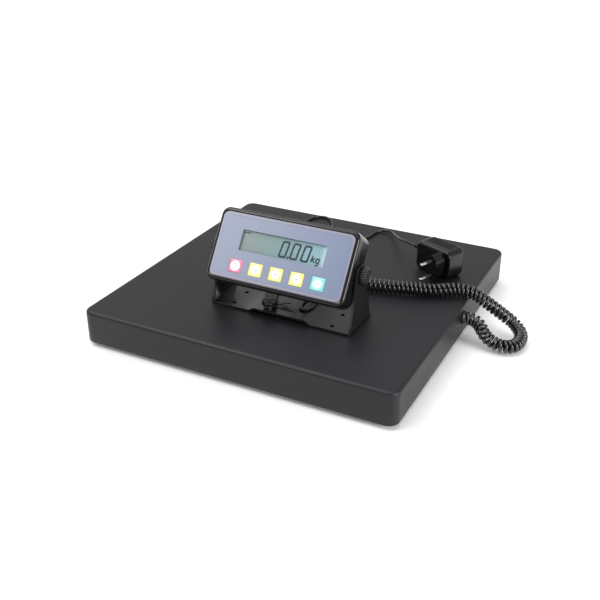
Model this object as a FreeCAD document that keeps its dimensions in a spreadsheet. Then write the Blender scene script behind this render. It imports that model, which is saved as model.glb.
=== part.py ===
import FreeCAD, Part
import math
import os
import Sketcher

# Platform shipping scale: a low steel platform on four load cells, a tilting indicator on a bent
# bracket that stands on the platform, a curly cord between the two, and a mains adapter.
# Row frame: millimetres, origin on the floor under the platform's centre, +X right, +Y back, +Z up.

doc = FreeCAD.newDocument("ShippingScale")
sheet = doc.addObject("Spreadsheet::Sheet", "Dims")
Vector = FreeCAD.Vector

DIMENSIONS = {
    # platform
    "platform_width": 380,
    "platform_depth": 380,
    "platform_top": 44,
    "ground_gap": 5,
    "cover_sheet": 2,
    "cover_corner": 12,
    "cover_edge": 4,
    "rail_width": 36,
    "rail_height": 22,
    "rail_sheet": 2,
    "rail_inset": 62,
    "rail_end_gap": 6,
    "cross_rail_y": 70,
    "weld_gap": 0.2,
    "plate_gap": 0.8,
    "plate_rise": 8,
    "plate_sheet": 1.5,
    "plate_hole_clearance": 3,
    "spacer_radius": 4,
    "screw_radius": 2,
    "screw_clearance": 0.15,
    "screw_head_radius": 3.6,
    "screw_head_height": 1.8,
    "screw_length": 7,
    # feet and load cells
    "foot_inset": 62,
    "foot_radius": 15.5,
    "foot_height": 4.5,
    "foot_spigot_radius": 6,
    "foot_spigot_height": 2.5,
    "cup_radius": 16,
    "cup_flange": 4.5,
    "cup_boss_radius": 9,
    "cell_size": 34,
    "cell_thickness": 3,
    "cell_tongue": 16,
    "cell_slot": 2,
    "bracket_margin": 4,
    "bracket_drop": 8,
    "bracket_sheet": 2,
    "bracket_relief": 1,
    # summing board
    "sum_board_length": 52,
    "sum_board_width": 36,
    "board_sheet": 1.6,
    "sum_spacer_height": 5,
    "sum_spacer_radius": 3,
    "sum_screw_inset": 4,
    "small_screw_radius": 1.2,
    "small_head_radius": 2.4,
    "small_head_height": 1.5,
    "wire_radius": 0.8,
    "wire_rise": 1.1,
    "cell_wire_inset": 12.5,
    "lead_bore_gap": 0.1,
    # gland in the platform's side
    "gland_y": 20,
    "gland_drop": 17,
    "gland_neck_radius": 5,
    "gland_flange_radius": 8,
    "gland_flange_depth": 4,
    "gland_neck_length": 9,
    "gland_nut_length": 4,
    # stand
    "stand_x": 17.6,
    "stand_y": -79,
    "stand_width": 173.4,
    "stand_depth": 58,
    "stand_sheet": 2.5,
    "arm_foot_depth": 55,
    "arm_head_half": 8.5,
    "arm_head_rise": 9.5,
    "arm_head_round": 7.5,
    "bend_radius": 3,
    "middle_half": 32,
    "middle_ramp": 6.5,
    "middle_rise": 4,
    "mount_hole_x": 122.5,
    "mount_hole_y": 28,
    "mount_hole_offset": 6,
    "mount_hole_radius": 2.4,
    # pivot and knobs
    "pivot_y": -83,
    "pivot_rise": 62.8,
    "lean": 34.5,
    "stud_radius": 2.5,
    "stud_clearance": 0.05,
    "arm_hole_radius": 3,
    "stud_reach": 11,
    "knob_radius": 9.5,
    "knob_length": 7.5,
    "knob_gap": 0.5,
    "knob_grooves": 20,
    "knob_groove_radius": 0.9,
    "insert_radius": 3.6,
    "insert_length": 8,
    "washer_radius": 7,
    "washer_gap": 0.1,
    "boss_wall": 1.9,
    # indicator housing
    "housing_width": 167,
    "housing_height": 83,
    "housing_depth": 31,
    "pivot_depth": 22.5,
    "front_depth": 14,
    "housing_wall": 2.2,
    "housing_corner": 9.5,
    "front_edge": 3.4,
    "parting_step": 0.3,
    "top_bevel": 4,
    "flat_bottom": 8,
    "rear_slope_drop": 7,
    "rear_slope_height": 30,
    "post_radius": 3.6,
    "post_inset": 9.5,
    "tap_radius": 1.25,
    "counterbore_radius": 3,
    "housing_screw_length": 12,
    # overlay, display and keys
    "overlay_width": 158.5,
    "overlay_height": 72.6,
    "overlay_sheet": 0.4,
    "overlay_gap": 0.2,
    "overlay_corner": 6.5,
    "window_width": 102,
    "window_height": 23.5,
    "window_v": 7.65,
    "window_rim": 1.5,
    "window_sheet": 1.5,
    "display_border": 4,
    "display_depth": 5.2,
    "board_depth": 8,
    "main_board_width": 134,
    "main_board_height": 64,
    "board_screw_x": 64,
    "board_screw_y": 28,
    "board_post_radius": 3,
    "key_width": 15.5,
    "key_height": 14.5,
    "key_v": 22,
    "key_first_u": -49.5,
    "key_pitch": 24.94,
    "key_gap": 0.2,
    "key_proud": 0.3,
    "key_sheet": 0.8,
    "key_pocket": 1,
    "key_stem_margin": 1.85,
    "key_stem_gap": 0.3,
    "key_stem_end": 4,
    "switch_size": 6,
    "switch_height": 3.4,
    # battery compartment
    "battery_length": 53,
    "battery_width": 27.5,
    "battery_depth": 18.2,
    "battery_u": -33.5,
    "battery_v": 19,
    "battery_wall": 1.2,
    "door_width": 57,
    "door_height": 32,
    "door_sheet": 1.8,
    "door_gap": 0.2,
    "hinge_pin_radius": 0.8,
    "hinge_pin_reach": 1.4,
    "clip_sheet": 1.2,
    "clip_stud_pitch": 12.7,
    "clip_stud_radius": 2.8,
    # power jack and barrel plug
    "jack_u": 1,
    "jack_size": 11,
    "jack_length": 13,
    "jack_bore": 2.8,
    "jack_pin": 1,
    "plug_barrel": 2.72,
    "plug_barrel_length": 9.5,
    "plug_handle_radius": 4.8,
    "plug_handle_length": 16,
    "plug_relief_length": 9,
    "plug_start_gap": 13.9,
    "lead_radius": 1.65,
    # cord gland on the indicator
    "cord_gland_u": 20,
    "cord_neck_radius": 4,
    "cord_flange_radius": 6.5,
    "cord_flange_depth": 2.5,
    "cord_relief_length": 12,
    "cord_relief_tip": 3.2,
    "cord_wire_radius": 2.2,
    "coil_radius": 8,
    "coil_start_gap": 20,
    "coil_end_gap": 4,
    # hank of spare lead and its tie
    "hank_x": -5.1,
    "hank_y": -85.2,
    "hank_turn": 25,
    "hank_width": 15,
    "hank_length": 48,
    "hank_exit": 4.25,
    "hank_height": 8,
    "hank_lift": 1,
    "hank_round": 3,
    "tie_width": 5,
    "tie_sheet": 0.8,
    "tie_end_width": 2.5,
    "tie_place": -11,
    "tie_end_reach": 16,
    # mains adapter, lying on its side on the platform
    "adapter_x": 135,
    "adapter_y": 89.7,
    "adapter_turn": -23,
    "adapter_length": 53,
    "adapter_depth": 27,
    "adapter_height": 36,
    "adapter_wall": 2,
    "adapter_round": 7,
    "adapter_edge": 3.2,
    "adapter_face_depth": 9,
    "adapter_lift": 0.1,
    "nose_x": 13.5,
    "nose_width": 14,
    "nose_height": 32,
    "nose_depth": 16.5,
    "nose_chamfer": 6,
    "pin_pitch": 18.6,
    "pin_radius": 2,
    "pin_length": 19,
    "sleeve_length": 10,
    "sleeve_wall": 0.3,
    "relief_length": 17,
    "relief_root": 4,
    "relief_tip": 2.6,
}


def fill_sheet():
    """Write every driving dimension as a plain number with its alias."""
    for row, (alias, value) in enumerate(DIMENSIONS.items(), start=1):
        sheet.set(f"A{row}", alias)
        sheet.set(f"B{row}", str(value))
        sheet.setAlias(f"B{row}", alias)
    doc.recompute()


fill_sheet()
parts = []


def dim(alias):
    """Value of one cell of the sheet."""
    return float(sheet.get(alias))


def expr(text):
    """An expression with its words turned into cells of the sheet."""
    words = ""
    token = ""
    for letter in text + " ":
        if letter.isalnum() or letter == "_":
            token += letter
            continue
        words += f"Dims.{token}" if token in DIMENSIONS else token
        words += letter
        token = ""
    return words.strip()


def value(text):
    """The number that an expression gives now."""
    return float(sheet.evalExpression(expr(str(text))))


def bind(thing, prop, text):
    thing.setExpression(prop, expr(str(text)))


def place(thing, x="0", y="0", z="0", axis=None, angle="0"):
    """Bind an object's placement: its base, and its turn about one axis."""
    if axis:
        thing.Placement = FreeCAD.Placement(Vector(), FreeCAD.Rotation(Vector(*axis), 1))
        bind(thing, "Placement.Rotation.Angle", angle)
    bind(thing, "Placement.Base.x", x)
    bind(thing, "Placement.Base.y", y)
    bind(thing, "Placement.Base.z", z)


def on_indicator(thing):
    """Indicator pieces are drawn about the pivot: X across, Y up the face, Z out of the face."""
    place(thing, "stand_x", "pivot_y", "platform_top + pivot_rise", (1, 0, 0), "90 - lean")


def on_adapter(thing):
    """Adapter pieces are drawn with X along the body and the pins towards -Y."""
    place(thing, "adapter_x", "adapter_y", "platform_top + adapter_lift", (0, 0, 1), "adapter_turn")


def new_body(label, several=False):
    body = doc.addObject("PartDesign::Body", label)
    body.Label = label
    body.AllowCompound = several
    parts.append(body)
    return body


def new_sketch(body, role, offset="0"):
    plane = next(item for item in body.Origin.OriginFeatures if item.Role == role)
    sketch = body.newObject("Sketcher::SketchObject", body.Name + "_sketch")
    sketch.AttachmentSupport = (plane, [""])
    sketch.MapMode = "FlatFace"
    bind(sketch, "AttachmentOffset.Base.z", offset)
    return sketch


def pin_point(sketch, geometry, point, x, y):
    """Fix a point of the sketch to two expressions."""
    for kind, text in (("DistanceX", x), ("DistanceY", y)):
        constraint = Sketcher.Constraint(kind, -1, 1, geometry, point, value(text))
        number = sketch.addConstraint(constraint)
        bind(sketch, f"Constraints[{number}]", text)


def polygon(sketch, corners):
    """A closed outline whose corners are pairs of expressions."""
    spots = [Vector(value(x), value(y), 0) for x, y in corners]
    first = sketch.GeometryCount
    count = len(corners)
    for number in range(count):
        sketch.addGeometry(Part.LineSegment(spots[number], spots[(number + 1) % count]))
    for number in range(count):
        follower = first + (number + 1) % count
        sketch.addConstraint(Sketcher.Constraint("Coincident", first + number, 2, follower, 1))
    for number, (x, y) in enumerate(corners):
        pin_point(sketch, first + number, 1, x, y)


def rectangle(sketch, x, y, width, height):
    """A rectangle about a centre."""
    left, right = f"({x}) - ({width}) / 2", f"({x}) + ({width}) / 2"
    low, high = f"({y}) - ({height}) / 2", f"({y}) + ({height}) / 2"
    polygon(sketch, [(left, low), (right, low), (right, high), (left, high)])


def circle(sketch, x, y, radius):
    centre = Vector(value(x), value(y), 0)
    number = sketch.addGeometry(Part.Circle(centre, Vector(0, 0, 1), value(radius)))
    pin_point(sketch, number, 3, x, y)
    constraint = sketch.addConstraint(Sketcher.Constraint("Radius", number, value(radius)))
    bind(sketch, f"Constraints[{constraint}]", radius)


def volume_of(body):
    return body.Shape.Volume if not body.Shape.isNull() else 0.0


def pad(body, sketch, length, symmetric=False, reverse=False):
    feature = body.newObject("PartDesign::Pad", body.Name + "_pad")
    feature.Profile = sketch
    feature.SideType = "Symmetric" if symmetric else "One side"
    feature.Reversed = reverse
    bind(feature, "Length", length)
    doc.recompute()
    return feature


def cut(body, sketch, length, symmetric=False, reverse=False):
    """A pocket, checked to have taken something away."""
    before = volume_of(body)
    feature = body.newObject("PartDesign::Pocket", body.Name + "_pocket")
    feature.Profile = sketch
    feature.SideType = "Symmetric" if symmetric else "One side"
    feature.Reversed = reverse
    bind(feature, "Length", length)
    doc.recompute()
    if volume_of(body) >= before - 1e-6:
        raise RuntimeError(f"a pocket in {body.Label} cuts nothing")
    return feature


def revolve(body, sketch, axis="V_Axis"):
    feature = body.newObject("PartDesign::Revolution", body.Name + "_revolution")
    feature.Profile = sketch
    feature.ReferenceAxis = (sketch, [axis])
    feature.Angle = 360
    doc.recompute()
    return feature


def edges_where(body, test):
    return [f"Edge{number}" for number, edge in enumerate(body.Shape.Edges, start=1) if test(edge)]


def fillet(body, radius, test):
    """Round the edges of the body that pass a test."""
    names = edges_where(body, test)
    feature = body.newObject("PartDesign::Fillet", body.Name + "_fillet")
    feature.Base = (feature.BaseFeature, names)
    bind(feature, "Radius", radius)
    doc.recompute()
    return feature


def shell(body, wall, test):
    """Hollow the body, open at the faces that pass a test."""
    names = [f"Face{number}" for number, face in enumerate(body.Shape.Faces, start=1) if test(face)]
    feature = body.newObject("PartDesign::Thickness", body.Name + "_thickness")
    feature.Base = (feature.BaseFeature, names)
    feature.Reversed = True
    feature.Join = 1
    bind(feature, "Value", wall)
    doc.recompute()
    return feature


def along(edge, direction):
    """True when a straight edge runs along a direction."""
    if len(edge.Vertexes) != 2 or edge.Curve.TypeId != "Part::GeomLine":
        return False
    run = edge.Vertexes[1].Point - edge.Vertexes[0].Point
    return run.cross(Vector(*direction)).Length < 1e-6 * run.Length


def flat_at(shape, coordinate, level):
    """True when a face or edge lies in the plane where one coordinate has a given level."""
    box = shape.BoundBox
    low, high = {"x": (box.XMin, box.XMax), "y": (box.YMin, box.YMax), "z": (box.ZMin, box.ZMax)}[coordinate]
    return abs(low - level) < 1e-4 and abs(high - level) < 1e-4


# ---------------------------------------------------------------- platform

TOP = "platform_top"
CEILING = "(platform_top - cover_sheet)"
RAIL_FOOT = "(platform_top - cover_sheet - rail_height)"
RAIL_X = "(platform_width / 2 - rail_inset)"
PLATE_TOP = "(plate_rise + plate_sheet)"
FOOT_X = "(platform_width / 2 - foot_inset)"
FOOT_Y = "(platform_depth / 2 - foot_inset)"
CELL_TOP = "(platform_top - cover_sheet - rail_height - bracket_sheet)"
CORNERS = {"front_left": (-1, -1), "front_right": (1, -1), "rear_left": (-1, 1), "rear_right": (1, 1)}

BRACKET = "(cell_size + 2 * bracket_margin)"
GLAND_Z = "(platform_top - gland_drop)"


def platform_cover():
    """Pressed steel tray that forms the weighing surface and the sides."""
    body = new_body("platform_cover")
    outline = new_sketch(body, "XY_Plane", "ground_gap")
    rectangle(outline, "0", "0", "platform_width", "platform_depth")
    pad(body, outline, "platform_top - ground_gap")
    fillet(body, "cover_corner", lambda edge: along(edge, (0, 0, 1)))
    fillet(body, "cover_edge", lambda edge: flat_at(edge, "z", dim("platform_top")))
    shell(body, "cover_sheet", lambda face: flat_at(face, "z", dim("ground_gap")))
    hole = new_sketch(body, "YZ_Plane", "platform_width / 2 + cover_sheet")
    circle(hole, "gland_y", GLAND_Z, "gland_neck_radius")
    cut(body, hole, "3 * cover_sheet")


def channel(body, role, across, length, offset="0"):
    """A folded channel, open downwards, drawn across its run."""
    section = new_sketch(body, role, offset)
    outer, inner = "rail_width / 2", "(rail_width / 2 - rail_sheet)"
    low, high, roof = RAIL_FOOT, CEILING, f"{CEILING} - rail_sheet"
    polygon(section, [
        (f"{across} - {outer}", low), (f"{across} - {inner}", low),
        (f"{across} - {inner}", roof), (f"{across} + {inner}", roof),
        (f"{across} + {inner}", low), (f"{across} + {outer}", low),
        (f"{across} + {outer}", high), (f"{across} - {outer}", high)])
    pad(body, section, length, symmetric=True)


def platform_rails():
    """Two long rails under the cover's sides and two cross rails between them, spot welded."""
    long_rails = new_body("long_rails", several=True)
    cross_rails = new_body("cross_rails", several=True)
    for sign in ("-", ""):
        channel(long_rails, "XZ_Plane", f"{sign}{RAIL_X}",
                "platform_depth - 2 * (cover_sheet + rail_end_gap)")
        channel(cross_rails, "YZ_Plane", f"{sign}cross_rail_y",
                f"2 * {RAIL_X} - rail_width - 2 * weld_gap")


def plate_screw_spots():
    """Bottom plate screws: two along each long rail's middle, and two along each cross rail."""
    spots = [(f"{side}{RAIL_X}", f"{row}cross_rail_y") for side in ("-", "") for row in ("-", "")]
    spots += [(f"{side}{RAIL_X} / 3", f"{row}cross_rail_y") for side in ("-", "") for row in ("-", "")]
    return spots


def summing_board_spots():
    half_x = "(sum_board_length / 2 - sum_screw_inset)"
    half_y = "(sum_board_width / 2 - sum_screw_inset)"
    return [(f"{side}{half_x}", f"{row}{half_y}") for side in ("-", "") for row in ("-", "")]


def bottom_plate():
    """Flat steel plate that closes the platform, with holes for the foot cups and the screws."""
    body = new_body("bottom_plate")
    inset = "2 * (cover_sheet + plate_gap)"
    outline = new_sketch(body, "XY_Plane", "plate_rise")
    rectangle(outline, "0", "0", f"platform_width - {inset}", f"platform_depth - {inset}")
    pad(body, outline, "plate_sheet")
    fillet(body, "cover_corner - cover_sheet", lambda edge: along(edge, (0, 0, 1)))
    holes = new_sketch(body, "XY_Plane", PLATE_TOP)
    for across, deep in CORNERS.values():
        circle(holes, f"{across} * {FOOT_X}", f"{deep} * {FOOT_Y}", "cup_radius + plate_hole_clearance")
    for x, y in plate_screw_spots():
        circle(holes, x, y, "screw_radius + screw_clearance")
    for x, y in summing_board_spots():
        circle(holes, x, y, "small_screw_radius")
    cut(body, holes, "2 * plate_sheet")


def rings(label, spots, level, length, outer, inner):
    """A set of equal tubes, one at each spot."""
    body = new_body(label, several=True)
    section = new_sketch(body, "XY_Plane", level)
    for x, y in spots:
        circle(section, x, y, outer)
        circle(section, x, y, inner)
    pad(body, section, length)


def discs(body, spots, level, length, radius, reverse=False):
    """Equal round bars, one at each spot, added to a body."""
    section = new_sketch(body, "XY_Plane", level)
    for x, y in spots:
        circle(section, x, y, radius)
    pad(body, section, length, reverse=reverse)


def plate_fasteners():
    """Spacer tubes between the bottom plate and the rails, and the pan-head screws into them."""
    rings("plate_spacers", plate_screw_spots(), PLATE_TOP, f"{RAIL_FOOT} - {PLATE_TOP}",
          "spacer_radius", "screw_radius")
    body = new_body("plate_screws", several=True)
    discs(body, plate_screw_spots(), "plate_rise", "screw_head_height", "screw_head_radius", reverse=True)
    discs(body, plate_screw_spots(), "plate_rise", "screw_length", "screw_radius")


def load_cells():
    """Half-bridge cells: a square plate whose middle tongue bends on the foot's boss."""
    half = "cell_tongue / 2"
    for name, (across, deep) in CORNERS.items():
        body = new_body(f"load_cell_{name}")
        outline = new_sketch(body, "XY_Plane")
        rectangle(outline, "0", "0", "cell_size", "cell_size")
        pad(body, outline, "cell_thickness", reverse=True)
        slot = new_sketch(body, "XY_Plane")
        reach = "(cell_size / 2 - 2 * cell_slot)"
        polygon(slot, [
            (f"-{half} - cell_slot", f"-{reach}"), (f"{half} + cell_slot", f"-{reach}"),
            (f"{half} + cell_slot", reach), (half, reach),
            (half, f"cell_slot - {reach}"), (f"-{half}", f"cell_slot - {reach}"),
            (f"-{half}", reach), (f"-{half} - cell_slot", reach)])
        cut(body, slot, "2 * cell_thickness", symmetric=True)
        place(body, f"{across} * {FOOT_X}", f"{deep} * {FOOT_Y}", CELL_TOP)


def cell_brackets():
    """Pressed square cups under the long rails that hold the load cells' rims."""
    body = new_body("cell_brackets", several=True)
    spots = [(f"{across} * {FOOT_X}", f"{deep} * {FOOT_Y}") for across, deep in CORNERS.values()]
    outline = new_sketch(body, "XY_Plane", RAIL_FOOT)
    for x, y in spots:
        rectangle(outline, x, y, BRACKET, BRACKET)
    pad(body, outline, "bracket_drop", reverse=True)
    inside = new_sketch(body, "XY_Plane", f"{RAIL_FOOT} - bracket_drop")
    for x, y in spots:
        rectangle(inside, x, y, f"{BRACKET} - 2 * bracket_sheet", f"{BRACKET} - 2 * bracket_sheet")
    cut(body, inside, "bracket_drop - bracket_sheet", reverse=True)
    relief = new_sketch(body, "XY_Plane", CELL_TOP)
    for x, y in spots:
        rectangle(relief, x, y, "cell_tongue + 4 * cell_slot", "cell_tongue + 4 * cell_slot")
    cut(body, relief, "bracket_relief", reverse=True)


def feet():
    """Foot cups bearing on the cells' tongues, each with a rubber foot pressed into it."""
    boss = f"{CELL_TOP} - cell_thickness"
    cups = new_body("foot_cups", several=True)
    spots = [(f"{across} * {FOOT_X}", f"{deep} * {FOOT_Y}") for across, deep in CORNERS.values()]
    discs(cups, spots, "foot_height", "cup_flange", "cup_radius")
    discs(cups, spots, "foot_height + cup_flange", f"{boss} - foot_height - cup_flange", "cup_boss_radius")
    sockets = new_sketch(cups, "XY_Plane", "foot_height")
    for x, y in spots:
        circle(sockets, x, y, "foot_spigot_radius")
    cut(cups, sockets, "foot_spigot_height", reverse=True)
    for name, (across, deep) in CORNERS.items():
        body = new_body(f"rubber_foot_{name}")
        half = new_sketch(body, "XZ_Plane")
        polygon(half, [
            ("0", "0"), ("foot_radius - foot_height / 3", "0"), ("foot_radius", "foot_height / 3"),
            ("foot_radius", "foot_height"), ("foot_spigot_radius", "foot_height"),
            ("foot_spigot_radius", "foot_height + foot_spigot_height"),
            ("0", "foot_height + foot_spigot_height")])
        revolve(body, half)
        place(body, f"{across} * {FOOT_X}", f"{deep} * {FOOT_Y}")


def summing_board():
    """Small circuit board that joins the four cells, on spacers over the bottom plate."""
    level = f"({PLATE_TOP} + sum_spacer_height)"
    spots = summing_board_spots()
    body = new_body("summing_board")
    outline = new_sketch(body, "XY_Plane", level)
    rectangle(outline, "0", "0", "sum_board_length", "sum_board_width")
    pad(body, outline, "board_sheet")
    sockets = new_sketch(body, "XY_Plane", f"{level} + board_sheet")
    for number in range(-2, 3):
        rectangle(sockets, f"{number} * sum_board_length / 7", "sum_board_width / 4",
                  "sum_board_length / 9", "sum_board_width / 6")
    rectangle(sockets, "0", "-sum_board_width / 5", "sum_board_length / 4", "sum_board_width / 5")
    pad(body, sockets, "2 * board_sheet")
    holes = new_sketch(body, "XY_Plane", f"{level} + board_sheet")
    for x, y in spots:
        circle(holes, x, y, "small_screw_radius + screw_clearance")
    cut(body, holes, "2 * board_sheet")
    rings("summing_board_spacers", spots, PLATE_TOP, "sum_spacer_height",
          "sum_spacer_radius", "small_screw_radius")
    screws = new_body("summing_board_screws", several=True)
    discs(screws, spots, f"{level} + board_sheet", "small_head_height", "small_head_radius")
    discs(screws, spots, f"{level} + board_sheet", "board_sheet + 0.8 * sum_spacer_height",
          "small_screw_radius", reverse=True)


LEAD_BORE = "(cord_wire_radius + lead_bore_gap)"


def platform_gland():
    """Cord gland through the right side of the cover, with its nut inside."""
    wall = "platform_width / 2"
    body = new_body("platform_gland")
    half = new_sketch(body, "XZ_Plane")
    polygon(half, [
        ("gland_flange_depth", LEAD_BORE), ("gland_flange_depth", "0.8 * gland_flange_radius"),
        ("gland_flange_depth / 2", "gland_flange_radius"), ("0", "gland_flange_radius"),
        ("0", "gland_neck_radius"), ("-gland_neck_length", "gland_neck_radius"),
        ("-gland_neck_length", LEAD_BORE)])
    revolve(body, half, "H_Axis")
    place(body, wall, "gland_y", GLAND_Z)
    nut = new_body("gland_nut")
    section = new_sketch(nut, "YZ_Plane")
    across = "gland_flange_radius"
    flats = [(f"{across} * cos({60 * turn})", f"{across} * sin({60 * turn})") for turn in range(6)]
    polygon(section, flats)
    circle(section, "0", "0", "gland_neck_radius")
    pad(nut, section, "gland_nut_length", reverse=True)
    place(nut, f"{wall} - cover_sheet", "gland_y", GLAND_Z)


# ---------------------------------------------------------------- stand

STAND_LEFT = "(stand_x - stand_width / 2)"
STAND_RIGHT = "(stand_x + stand_width / 2)"
STAND_FRONT = "(stand_y - stand_depth / 2)"
PIVOT_Z = "(platform_top + pivot_rise)"


def stand_bracket():
    """One bent sheet: a base plate with a raised middle, and two arms that taper to the pivots."""
    body = new_body("stand_bracket")
    low, high = TOP, f"{TOP} + stand_sheet"
    ramp = "(middle_half + middle_ramp)"
    section = new_sketch(body, "XZ_Plane", "-stand_y")
    polygon(section, [
        (STAND_LEFT, low), (f"stand_x - {ramp}", low), ("stand_x - middle_half", f"{low} + middle_rise"),
        ("stand_x + middle_half", f"{low} + middle_rise"), (f"stand_x + {ramp}", low), (STAND_RIGHT, low),
        (STAND_RIGHT, high), (f"stand_x + {ramp}", high), ("stand_x + middle_half", f"{high} + middle_rise"),
        ("stand_x - middle_half", f"{high} + middle_rise"), (f"stand_x - {ramp}", high), (STAND_LEFT, high)])
    pad(body, section, "stand_depth", symmetric=True)
    head_low, head_high = "pivot_y - arm_head_half", "pivot_y + arm_head_half"
    for edge, inward in ((STAND_LEFT, False), (STAND_RIGHT, True)):
        arm = new_sketch(body, "YZ_Plane", edge)
        polygon(arm, [
            (STAND_FRONT, low), (f"{STAND_FRONT} + arm_foot_depth", low),
            (head_high, f"{PIVOT_Z} + arm_head_rise"), (head_low, f"{PIVOT_Z} + arm_head_rise")])
        pad(body, arm, "stand_sheet", reverse=inward)
    head = value(f"{PIVOT_Z} + arm_head_rise")
    fillet(body, "arm_head_round", lambda edge: along(edge, (1, 0, 0)) and flat_at(edge, "z", head))
    outside = [value(STAND_LEFT), value(STAND_RIGHT)]
    fillet(body, "bend_radius", lambda edge: along(edge, (0, 1, 0)) and flat_at(edge, "z", dim("platform_top"))
           and any(flat_at(edge, "x", side) for side in outside))
    pivots = new_sketch(body, "YZ_Plane", STAND_RIGHT)
    circle(pivots, "pivot_y", PIVOT_Z, "arm_hole_radius")
    cut(body, pivots, "stand_width")
    holes = new_sketch(body, "XY_Plane", f"{TOP} + 2 * stand_sheet")
    for across in ("-", "+"):
        for deep in ("-", "+"):
            circle(holes, f"stand_x {across} mount_hole_x / 2",
                   f"stand_y - mount_hole_offset {deep} mount_hole_y / 2", "mount_hole_radius")
    cut(body, holes, "3 * stand_sheet")


def pivot_hardware():
    """On each side: a knurled knob on a threaded stud, a friction washer and a brass insert."""
    side_face = "(housing_width / 2 - parting_step)"
    arm_face = "(stand_width / 2)"
    studs = f"({arm_face} + knob_gap + knob_length / 2)"
    for side, sign in (("left", "-"), ("right", "")):
        turned = side == "left"
        knob = new_body(f"pivot_knob_{side}")
        disc = new_sketch(knob, "YZ_Plane", f"{sign}({arm_face} + knob_gap)")
        circle(disc, "0", "0", "knob_radius")
        pad(knob, disc, "knob_length", reverse=turned)
        outer = abs(value(f"{arm_face} + knob_gap + knob_length"))
        fillet(knob, "knob_groove_radius", lambda edge: abs(abs(edge.BoundBox.XMin) - outer) < 1e-4
               and edge.BoundBox.XLength < 1e-4)
        bore = new_sketch(knob, "YZ_Plane", f"{sign}({arm_face} + knob_gap)")
        circle(bore, "0", "0", "stud_radius")
        cut(knob, bore, "knob_length / 2", reverse=not turned)
        groove = new_sketch(knob, "YZ_Plane", f"{sign}({arm_face} + knob_gap)")
        circle(groove, "0", "knob_radius + knob_groove_radius / 3", "knob_groove_radius")
        notch = cut(knob, groove, "2 * knob_length", reverse=not turned)
        pattern = knob.newObject("PartDesign::PolarPattern", f"pivot_knob_{side}_pattern")
        pattern.Originals = [notch]
        pattern.Axis = (groove, ["N_Axis"])
        pattern.Angle = 360
        pattern.Occurrences = int(dim("knob_grooves"))
        knob.Tip = pattern
        on_indicator(knob)
        stud = new_body(f"pivot_stud_{side}")
        bar = new_sketch(stud, "YZ_Plane", f"{sign}{studs}")
        circle(bar, "0", "0", "stud_radius")
        pad(stud, bar, "stud_reach + knob_length / 2", reverse=not turned)
        on_indicator(stud)
    inserts = new_body("pivot_inserts", several=True)
    washers = new_body("friction_washers", several=True)
    for sign, turned in (("-", False), ("", True)):
        sleeve = new_sketch(inserts, "YZ_Plane", f"{sign}{side_face}")
        circle(sleeve, "0", "0", "insert_radius")
        circle(sleeve, "0", "0", "stud_radius + stud_clearance")
        pad(inserts, sleeve, "insert_length", reverse=turned)
        ring = new_sketch(washers, "YZ_Plane", f"{sign}{side_face}")
        circle(ring, "0", "0", "washer_radius")
        circle(ring, "0", "0", "arm_hole_radius")
        pad(washers, ring, f"{arm_face} - stand_sheet - {side_face} - washer_gap", reverse=not turned)
    on_indicator(inserts)
    on_indicator(washers)


# ---------------------------------------------------------------- indicator

FACE = "pivot_depth"
REAR = "(pivot_depth - housing_depth)"
PARTING = "(pivot_depth - front_depth)"
POSTS = [(f"{side}(housing_width / 2 - post_inset)", f"{row}(housing_height / 2 - post_inset)")
         for side in ("-", "") for row in ("-", "")]
BOARD_SPOTS = [(f"{side}board_screw_x", f"{row}board_screw_y") for side in ("-", "") for row in ("-", "")]
HINGE_V = "(battery_v + door_height / 2 - door_sheet / 2)"
HINGE_W = f"({REAR} + door_sheet / 2)"
KEY_COUNT = 5
KEY_NAMES = ["power", "hold", "tare", "unit", "zero"]
KEY_SPOTS = [(f"key_first_u + {number} * key_pitch", "-key_v") for number in range(KEY_COUNT)]


def front_housing():
    """Moulded front half: the face with its overlay recess, key wells, window and screw posts."""
    body = new_body("front_housing")
    outline = new_sketch(body, "XY_Plane", PARTING)
    rectangle(outline, "0", "0", "housing_width", "housing_height")
    pad(body, outline, "front_depth")
    fillet(body, "housing_corner", lambda edge: along(edge, (0, 0, 1)))
    fillet(body, "front_edge", lambda edge: flat_at(edge, "z", dim("pivot_depth")))
    shell(body, "housing_wall", lambda face: flat_at(face, "z", value(PARTING)))
    posts = new_sketch(body, "XY_Plane", PARTING)
    for x, y in POSTS:
        circle(posts, x, y, "post_radius")
    pad(body, posts, "front_depth - housing_wall / 2")
    board_posts = new_sketch(body, "XY_Plane", f"{FACE} - board_depth")
    for x, y in BOARD_SPOTS:
        circle(board_posts, x, y, "board_post_radius")
    pad(body, board_posts, "board_depth - housing_wall / 2")
    bores = new_sketch(body, "XY_Plane", PARTING)
    for x, y in POSTS + BOARD_SPOTS:
        circle(bores, x, y, "tap_radius")
    cut(body, bores, "front_depth - 1.5 * housing_wall", reverse=True)
    recess = new_sketch(body, "XY_Plane", FACE)
    rectangle(recess, "0", "0", "overlay_width + 2 * overlay_gap", "overlay_height + 2 * overlay_gap")
    cut(body, recess, "overlay_sheet")
    wells = new_sketch(body, "XY_Plane", FACE)
    for x, y in KEY_SPOTS:
        rectangle(wells, x, y, "key_width + 2 * key_gap", "key_height + 2 * key_gap")
    cut(body, wells, "key_pocket")
    openings = new_sketch(body, "XY_Plane", FACE)
    stem_hole = "2 * (key_stem_margin - key_stem_gap)"
    for x, y in KEY_SPOTS:
        rectangle(openings, x, y, f"key_width - {stem_hole}", f"key_height - {stem_hole}")
    rim = "2 * (window_rim + key_gap)"
    rectangle(openings, "0", "window_v", f"window_width + {rim}", f"window_height + {rim}")
    cut(body, openings, "housing_wall + 2 * overlay_sheet")
    on_indicator(body)


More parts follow.
